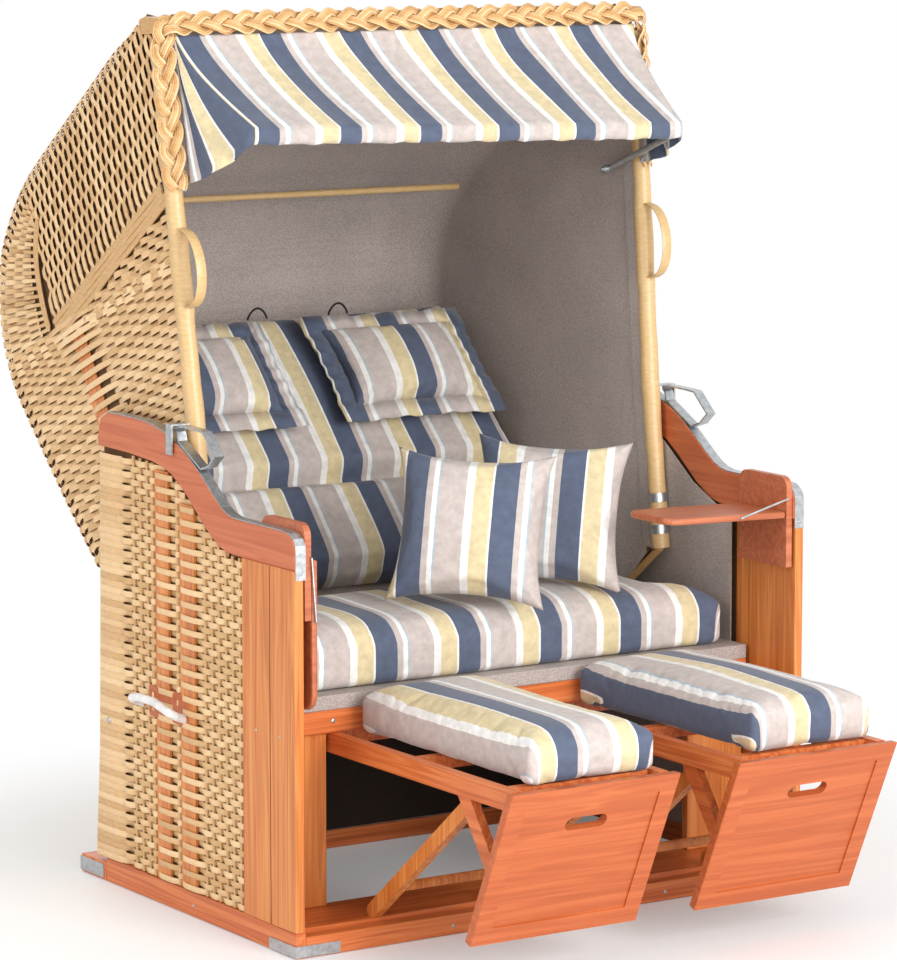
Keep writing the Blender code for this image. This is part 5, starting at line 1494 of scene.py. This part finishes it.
def flange_mesh(half, wide, ear, seed):
    """The flat sewn border round a pillow, a little wavy."""
    ring = []
    steps = 40
    for side in range(4):
        for k in range(steps):
            t = 2 * k / steps - 1
            u, v = ((t, -1.0), (1.0, t), (-t, 1.0), (-1.0, -t))[side]
            ring.append((u, v))
    points, faces = [], []
    count = len(ring)
    for n, (u, v) in enumerate(ring):
        a = half[0] * u * (1 + ear * (v * v - 1))
        b = half[1] * v * (1 + ear * (u * u - 1))
        inner = Vector((a * 0.965, b * 0.94))
        outer = Vector((a + math.copysign(wide, u) * (abs(u) > 0.999),
                        b + math.copysign(wide, v) * (abs(v) > 0.999)))
        wave = 0.0026 * math.sin(n * 0.9 + seed) + 0.0018 * math.sin(n * 0.37 + 2 * seed)
        for c, spot, lift in ((0.0020, inner, 0.3), (0.0014, outer, 1.0), (-0.0014, outer, 1.0),
                              (-0.0020, inner, 0.3)):
            points.append((spot.x, spot.y, c + wave * lift))
    for n in range(count):
        m = (n + 1) % count
        for k in range(4):
            q = (k + 1) % 4
            faces.append([n * 4 + k, m * 4 + k, m * 4 + q, n * 4 + q])
    return points, faces


def slope_frame():
    """Where the back cushion lies: origin at the foot of the backrest, second axis up the slope."""
    lower, upper = at(0.0, 0.6335, 0.4715), at(0.0, 1.0235, 0.8615)
    along = (upper - lower).normalized()
    normal = Vector((0.0, -along.z, along.y))
    axes = Matrix((Vector((1.0, 0.0, 0.0)), along, normal)).transposed().to_4x4()
    return Matrix.Translation(lower) @ axes


class CHAIR_OT_main_pads(bpy.types.Operator):
    """Seat and back cushions"""
    bl_idname = "object.beach_chair_main_pads"
    bl_label = "Seat and Back Cushions"

    def execute(self, context):
        sizes = context.scene.beach_chair_pads
        outline = [(-0.484, -0.188), (0.484, -0.188), (0.484, -0.070), (0.444, -0.042), (0.444, 0.186),
                   (-0.444, 0.186), (-0.444, -0.042), (-0.484, -0.070)]
        place = Matrix.Translation(at(0.0, 0.3385, 0.4633))
        block_pad("seat_pad", outline, -0.0385, 0.036, 0.030, place, "base", ["seat_cushion"],
                  (sizes.seat_start, 0.1766),
                  tufts=((-0.24, 0.0, 0.006), (0.24, 0.0, 0.006)), seed=4, edge=0.011)
        place = slope_frame() @ Matrix.Translation((0.0, 0.380, 0.0243))
        outline = [(-0.456, -0.352), (0.456, -0.352), (0.456, 0.302), (-0.456, 0.302)]
        block_pad("back_pad", outline, -0.0235, 0.022, 0.030, place, "hood", ["back_cushion"],
                  (sizes.back_start, 0.166),
                  creases=((-0.123, 0.040, 0.017),), seed=9, edge=0.014)
        self.loops()
        return {"FINISHED"}

    def loops(self):
        """Elastic loops that hold the back cushion to the hood."""
        paths = []
        for x in (-0.330, 0.005, 0.190):
            top = at(x, 1.075, 0.985)
            path = []
            for i in range(13):
                a = math.pi * i / 12
                path.append(top + Vector((0.022 * math.cos(a), -0.018 + 0.004 * math.sin(2 * a),
                                          -0.006 + 0.022 * math.sin(a))))
            paths.append(path)
        rods("elastic_loops", paths, 0.0022, "black_elastic", "hood", 8)


class CHAIR_OT_pillows(bpy.types.Operator):
    """Head pillows and scatter cushions"""
    bl_idname = "object.beach_chair_pillows"
    bl_label = "Pillows"

    def execute(self, context):
        sizes = context.scene.beach_chair_pads
        for side, sign, stands, seed in (("left", -1, 0.1279, 3), ("right", 1, 0.1299, 8)):
            place = slope_frame() @ Matrix.Translation((sign * 0.226, 0.470, stands))
            pillow_pad(f"head_pad_{side}", (0.150, 0.098), 0.080, place, "hood", [f"head_pillow_{side}"],
                       (sizes.head_start - (0.044 if sign < 0 else 0.0), 0.165), seed, flange=0.033)
        for label, where, seed in (("front", (-0.033, 0.234, 0.6776), 5), ("rear", (0.187, 0.304, 0.6774), 11)):
            place = Matrix.Translation(at(*where)) @ Matrix.Rotation(math.radians(-38.0), 4, "Z")
            place = place @ Matrix.Rotation(math.radians(66.0), 4, "X")
            place = place @ Matrix.Rotation(math.radians(-3.0), 4, "Z")
            if label == "rear":
                place = place @ Matrix.Rotation(math.pi, 4, "Z")
            pillow_pad(f"scatter_pad_{label}", (0.148, 0.148), 0.094, place, "base", [f"throw_pillow_{label}"],
                       (sizes.scatter_start if label == "front" else -0.063, 0.165), seed, ear=0.085)
        return {"FINISHED"}


class CHAIR_OT_leg_pads(bpy.types.Operator):
    """Leg cushions"""
    bl_idname = "object.beach_chair_leg_pads"
    bl_label = "Leg Cushions"

    def execute(self, context):
        sizes = context.scene.beach_chair_pads
        for side, sign, (x0, x1, y0, y1), seed in (("left", -1, (-0.356, -0.084, -0.440, 0.122), 6),
                                                   ("right", 1, (0.112, 0.390, -0.424, 0.1295), 12)):
            ha, hb = (x1 - x0) / 2 - 0.005, (y1 - y0) / 2 - 0.005
            outline = [(-ha, -hb), (ha, -hb), (ha, hb), (-ha, hb)]
            place = Matrix.Translation(at((x0 + x1) / 2, (y0 + y1) / 2, 0.3898))
            block_pad(f"leg_pad_{side}", outline, -0.0325, 0.031, 0.016, place, "base", [f"leg_cushion_{side}"],
                      (sizes.leg_start if sign < 0 else 0.0, 0.164), seed=seed, edge=0.012)
        return {"FINISHED"}


BAR_LEFT = Vector((-0.447, 0.300, 1.3915))
BAR_RIGHT = Vector((0.470, 0.300, 1.3705))
RIM_HALF = 0.497


class CHAIR_OT_awning(bpy.types.Operator):
    """Striped awning with its hem and side gussets"""
    bl_idname = "object.beach_chair_awning"
    bl_label = "Awning"

    def execute(self, context):
        self.bar()
        start = context.scene.beach_chair_pads.awning_start
        nu, nv, flap = 132, 40, 8
        bend = {"top": (0.4850, 1.5643), "sag": (0.4720, 1.5000)}
        points, faces, flat = [], [], []
        for j in range(nv + 1):
            w = min(j / (nv - flap), 1.0)
            down = max(j - (nv - flap), 0) / flap
            swing = math.sin(math.pi * w) ** 0.8
            for i in range(nu + 1):
                u = 2 * i / nu - 1
                bar = BAR_LEFT.lerp(BAR_RIGHT, (u + 1) / 2)
                left = -RIM_HALF + (BAR_LEFT.x + RIM_HALF) * w
                right = RIM_HALF + (BAR_RIGHT.x - RIM_HALF) * w
                x = left + (right - left) * (u + 1) / 2
                fold_y, fold_z = bar.y - 0.0105, bar.z + 0.0180
                y = (1 - w) ** 2 * bend["top"][0] + 2 * w * (1 - w) * bend["sag"][0] + w * w * fold_y
                z = (1 - w) ** 2 * bend["top"][1] + 2 * w * (1 - w) * bend["sag"][1] + w * w * fold_z
                turn = math.radians(150) * down
                y += 0.0105 * down ** 2 * 1.2 - 0.004 * math.sin(turn)
                z -= 0.0290 * math.sin(math.radians(96) * down)
                fold = (0.0028 + 0.0030 * max(u, 0.0) ** 2) * swing * (
                    math.sin(4.5 * math.pi * u) + 0.7 * math.cos(7.3 * u + 2.0 * w)
                    + 0.35 * math.sin(23 * u + 5 * w))
                fold += 0.0016 * w * math.sin(38 * u + 1.0) + 0.0012 * down * math.sin(71 * u)
                points.append(at(x, y - fold * 0.7, z + fold * 0.7))
                flat.append(((x - 0.050 * w - start) * STRIPE_REPEAT / 0.168, 0.30 * w + 0.03 * down))
        for j in range(nv):
            for i in range(nu):
                a = j * (nu + 1) + i
                faces.append([a, a + 1, a + nu + 2, a + nu + 1])
        # each side is a gusset that fans out from the top corner; its stripes fan with it
        turns = [0.0, 0.1, 0.2, 0.3, 0.33, 0.42, 0.52, 0.56, 0.563, 0.64, 0.72, 0.80, 0.87, 0.93, 1.0]
        shares = [0.21, 0.14, 0.07, 0.0, -0.024, -0.12, -0.216, -0.25, 0.02, 0.10, 0.18, 0.262, 0.36,
                  0.42, 0.50]
        for column, sign in ((0, -1), (nu, 1)):
            tip = at(sign * 0.4775 * flare_at(1.3050), 0.4460, 1.3050)
            rim = [j * (nu + 1) + column for j in range(nv + 1)]
            corner = points[rim[0]]
            last = rim
            for s, share in zip(turns[1:], shares[1:]):
                row = []
                for n, a in enumerate(rim):
                    w = min(n / (nv - flap), 1.0)
                    spot = points[a].lerp(corner.lerp(tip, w), s)
                    pleat = w * math.sin(math.pi * s) * (
                        0.009 + 0.008 * math.sin(2 * math.pi * (2.2 * s + 0.1))
                        + 0.003 * math.sin(9 * s + 7 * w))
                    sink = 0.010 * math.sin(math.pi * s) * w * w
                    row.append(len(points))
                    points.append(spot + Vector((sign * pleat, -0.4 * pleat, -sink)))
                    flat.append((share * STRIPE_REPEAT, flat[a][1]))
                for n in range(nv):
                    faces.append([last[n], last[n + 1], row[n + 1], row[n]] if sign < 0 else
                                 [last[n], row[n], row[n + 1], last[n + 1]])
                last = row
        mesh = bpy.data.meshes.new("awning")
        mesh.from_pydata([tuple(p) for p in points], [], faces)
        layer = mesh.uv_layers.new(name="cloth")
        for loop in mesh.loops:
            layer.data[loop.index].uv = flat[loop.vertex_index]
        # the gusset's first column follows its own stripes, not those of the sheet
        for face in mesh.polygons[nu * nv:]:
            for k in face.loop_indices:
                spot = mesh.loops[k].vertex_index
                if spot < (nu + 1) * (nv + 1):
                    layer.data[k].uv = (shares[0] * STRIPE_REPEAT, flat[spot][1])
        mesh.materials.append(finish("stripes"))
        carrier = carried(mesh)
        thick = carrier.modifiers.new("thick", "SOLIDIFY")
        thick.thickness = 0.0016
        thick.offset = 0.0
        done = baked(carrier)
        cleaned(done, 0.00005, outward=False)
        piece = wrap_mesh("awning_canvas", done, None, None, [], None)
        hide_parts("awning_cloth")
        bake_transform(piece)
        return {"FINISHED"}

    def bar(self):
        """Bent tube with its two arms and clamp knobs; it hangs a little lower on the right."""
        path = []
        for x, y, z in ((-0.4720, 0.5500, 1.2800), (-0.4480, 0.3120, 1.3880), (-0.4470, 0.3030, 1.3913),
                        tuple(BAR_LEFT), tuple(BAR_RIGHT), (0.4720, 0.3030, 1.3704), (0.4710, 0.3120, 1.3670),
                        (0.4720, 0.5500, 1.2800)):
            path.append(at(x, y, z))
        knobs = []
        for sign in (-1, 1):
            for inner, outer, radius, sides in ((0.4560, 0.4800, 0.0085, 16), (0.4520, 0.4560, 0.0050, 12)):
                ends = [at(sign * x, 0.5260, 1.2890) for x in (inner, outer)]
                knobs.append(rod_mesh(ends, radius, sides))
        points, faces = merged([rod_mesh(path, 0.0062, 12)] + knobs)
        add_piece("awning_bar", points, faces, "zinc", "awning", ["awning_frame"])


class ChairCane(bpy.types.PropertyGroup):
    """Cane work"""
    plait_pitch: bpy.props.FloatProperty(
        name="Plait Pitch", description="Length of one turn of the plaited edge",
        default=0.130, min=0.04, max=0.2, unit="LENGTH")


def stripe_start(label, where, default):
    """A length that says where a dark stripe begins."""
    return bpy.props.FloatProperty(name=label, description=f"Where a dark stripe begins on {where}",
                                   default=default, unit="LENGTH")


class ChairPads(bpy.types.PropertyGroup):
    """Striped cloth: where the pattern starts on each pad"""
    seat_start: stripe_start("Seat Start", "the seat cushion", 0.0742)
    back_start: stripe_start("Back Start", "the back cushion", 0.029)
    head_start: stripe_start("Head Start", "the right head pillow", -0.009)
    scatter_start: stripe_start("Scatter Start", "the front scatter cushion", 0.041)
    leg_start: stripe_start("Leg Start", "the left leg cushion", -0.072)
    awning_start: stripe_start("Awning Start", "the awning", 0.0137)


class CHAIR_PT_panel(bpy.types.Panel):
    """Every making step of the chair, in order"""
    bl_idname = "CHAIR_PT_panel"
    bl_label = "Beach Chair"
    bl_space_type = "VIEW_3D"
    bl_region_type = "UI"
    bl_category = "Beach Chair"

    def draw(self, context):
        for step in STEPS:
            self.layout.operator(f"object.{step}")
        for name in GROUPS:
            group = getattr(context.scene, name)
            box = self.layout.box()
            for field in group.bl_rna.properties:
                if field.identifier not in ("rna_type", "name"):
                    box.prop(group, field.identifier)


class ChairStudio(bpy.types.PropertyGroup):
    """Camera and light"""
    lens: bpy.props.FloatProperty(name="Lens", description="Focal length of the camera",
                                  default=161.475, unit="CAMERA")
    sky: bpy.props.FloatProperty(name="Sky", description="Strength of the light from all round", default=0.80)
    key: bpy.props.FloatProperty(name="Key", description="Power of the front lamp", default=215.0, unit="POWER")
    side: bpy.props.FloatProperty(name="Side", description="Power of the side lamp", default=90.0, unit="POWER")
    floor_white: bpy.props.FloatProperty(
        name="Floor White",
        description="Part of the floor's own shade that shows near the chair; the rest is white",
        default=0.86, min=0.0, max=1.0, subtype="FACTOR")
    floor_colour: bpy.props.FloatVectorProperty(
        name="Floor", description="Colour of the floor", subtype="COLOR",
        default=linear("#f2f2f2")[:3], min=0.0, max=1.0)


CLASSES = [ChairStudio, ChairCane, ChairPads, CHAIR_OT_stage, CHAIR_OT_timber, CHAIR_OT_side_panels,
           CHAIR_OT_back_panel, CHAIR_OT_hood, CHAIR_OT_lining, CHAIR_OT_hood_edges, CHAIR_OT_awning,
           CHAIR_OT_main_pads, CHAIR_OT_pillows, CHAIR_OT_leg_pads, CHAIR_OT_fittings, CHAIR_PT_panel]
STEPS = ["beach_chair_stage", "beach_chair_timber", "beach_chair_side_panels", "beach_chair_back_panel",
         "beach_chair_hood", "beach_chair_lining", "beach_chair_hood_edges", "beach_chair_awning",
         "beach_chair_main_pads", "beach_chair_pillows", "beach_chair_leg_pads",
         "beach_chair_fittings"]
GROUPS = {"beach_chair_studio": ChairStudio, "beach_chair_cane": ChairCane, "beach_chair_pads": ChairPads}


def register():
    for kind in CLASSES:
        bpy.utils.register_class(kind)
    for name, kind in GROUPS.items():
        setattr(bpy.types.Scene, name, bpy.props.PointerProperty(type=kind))


def unregister():
    for name in GROUPS:
        delattr(bpy.types.Scene, name)
    for kind in reversed(CLASSES):
        bpy.utils.unregister_class(kind)


def main():
    register()
    for step in STEPS:
        getattr(bpy.ops.object, step)()


if __name__ == "__main__":
    main()
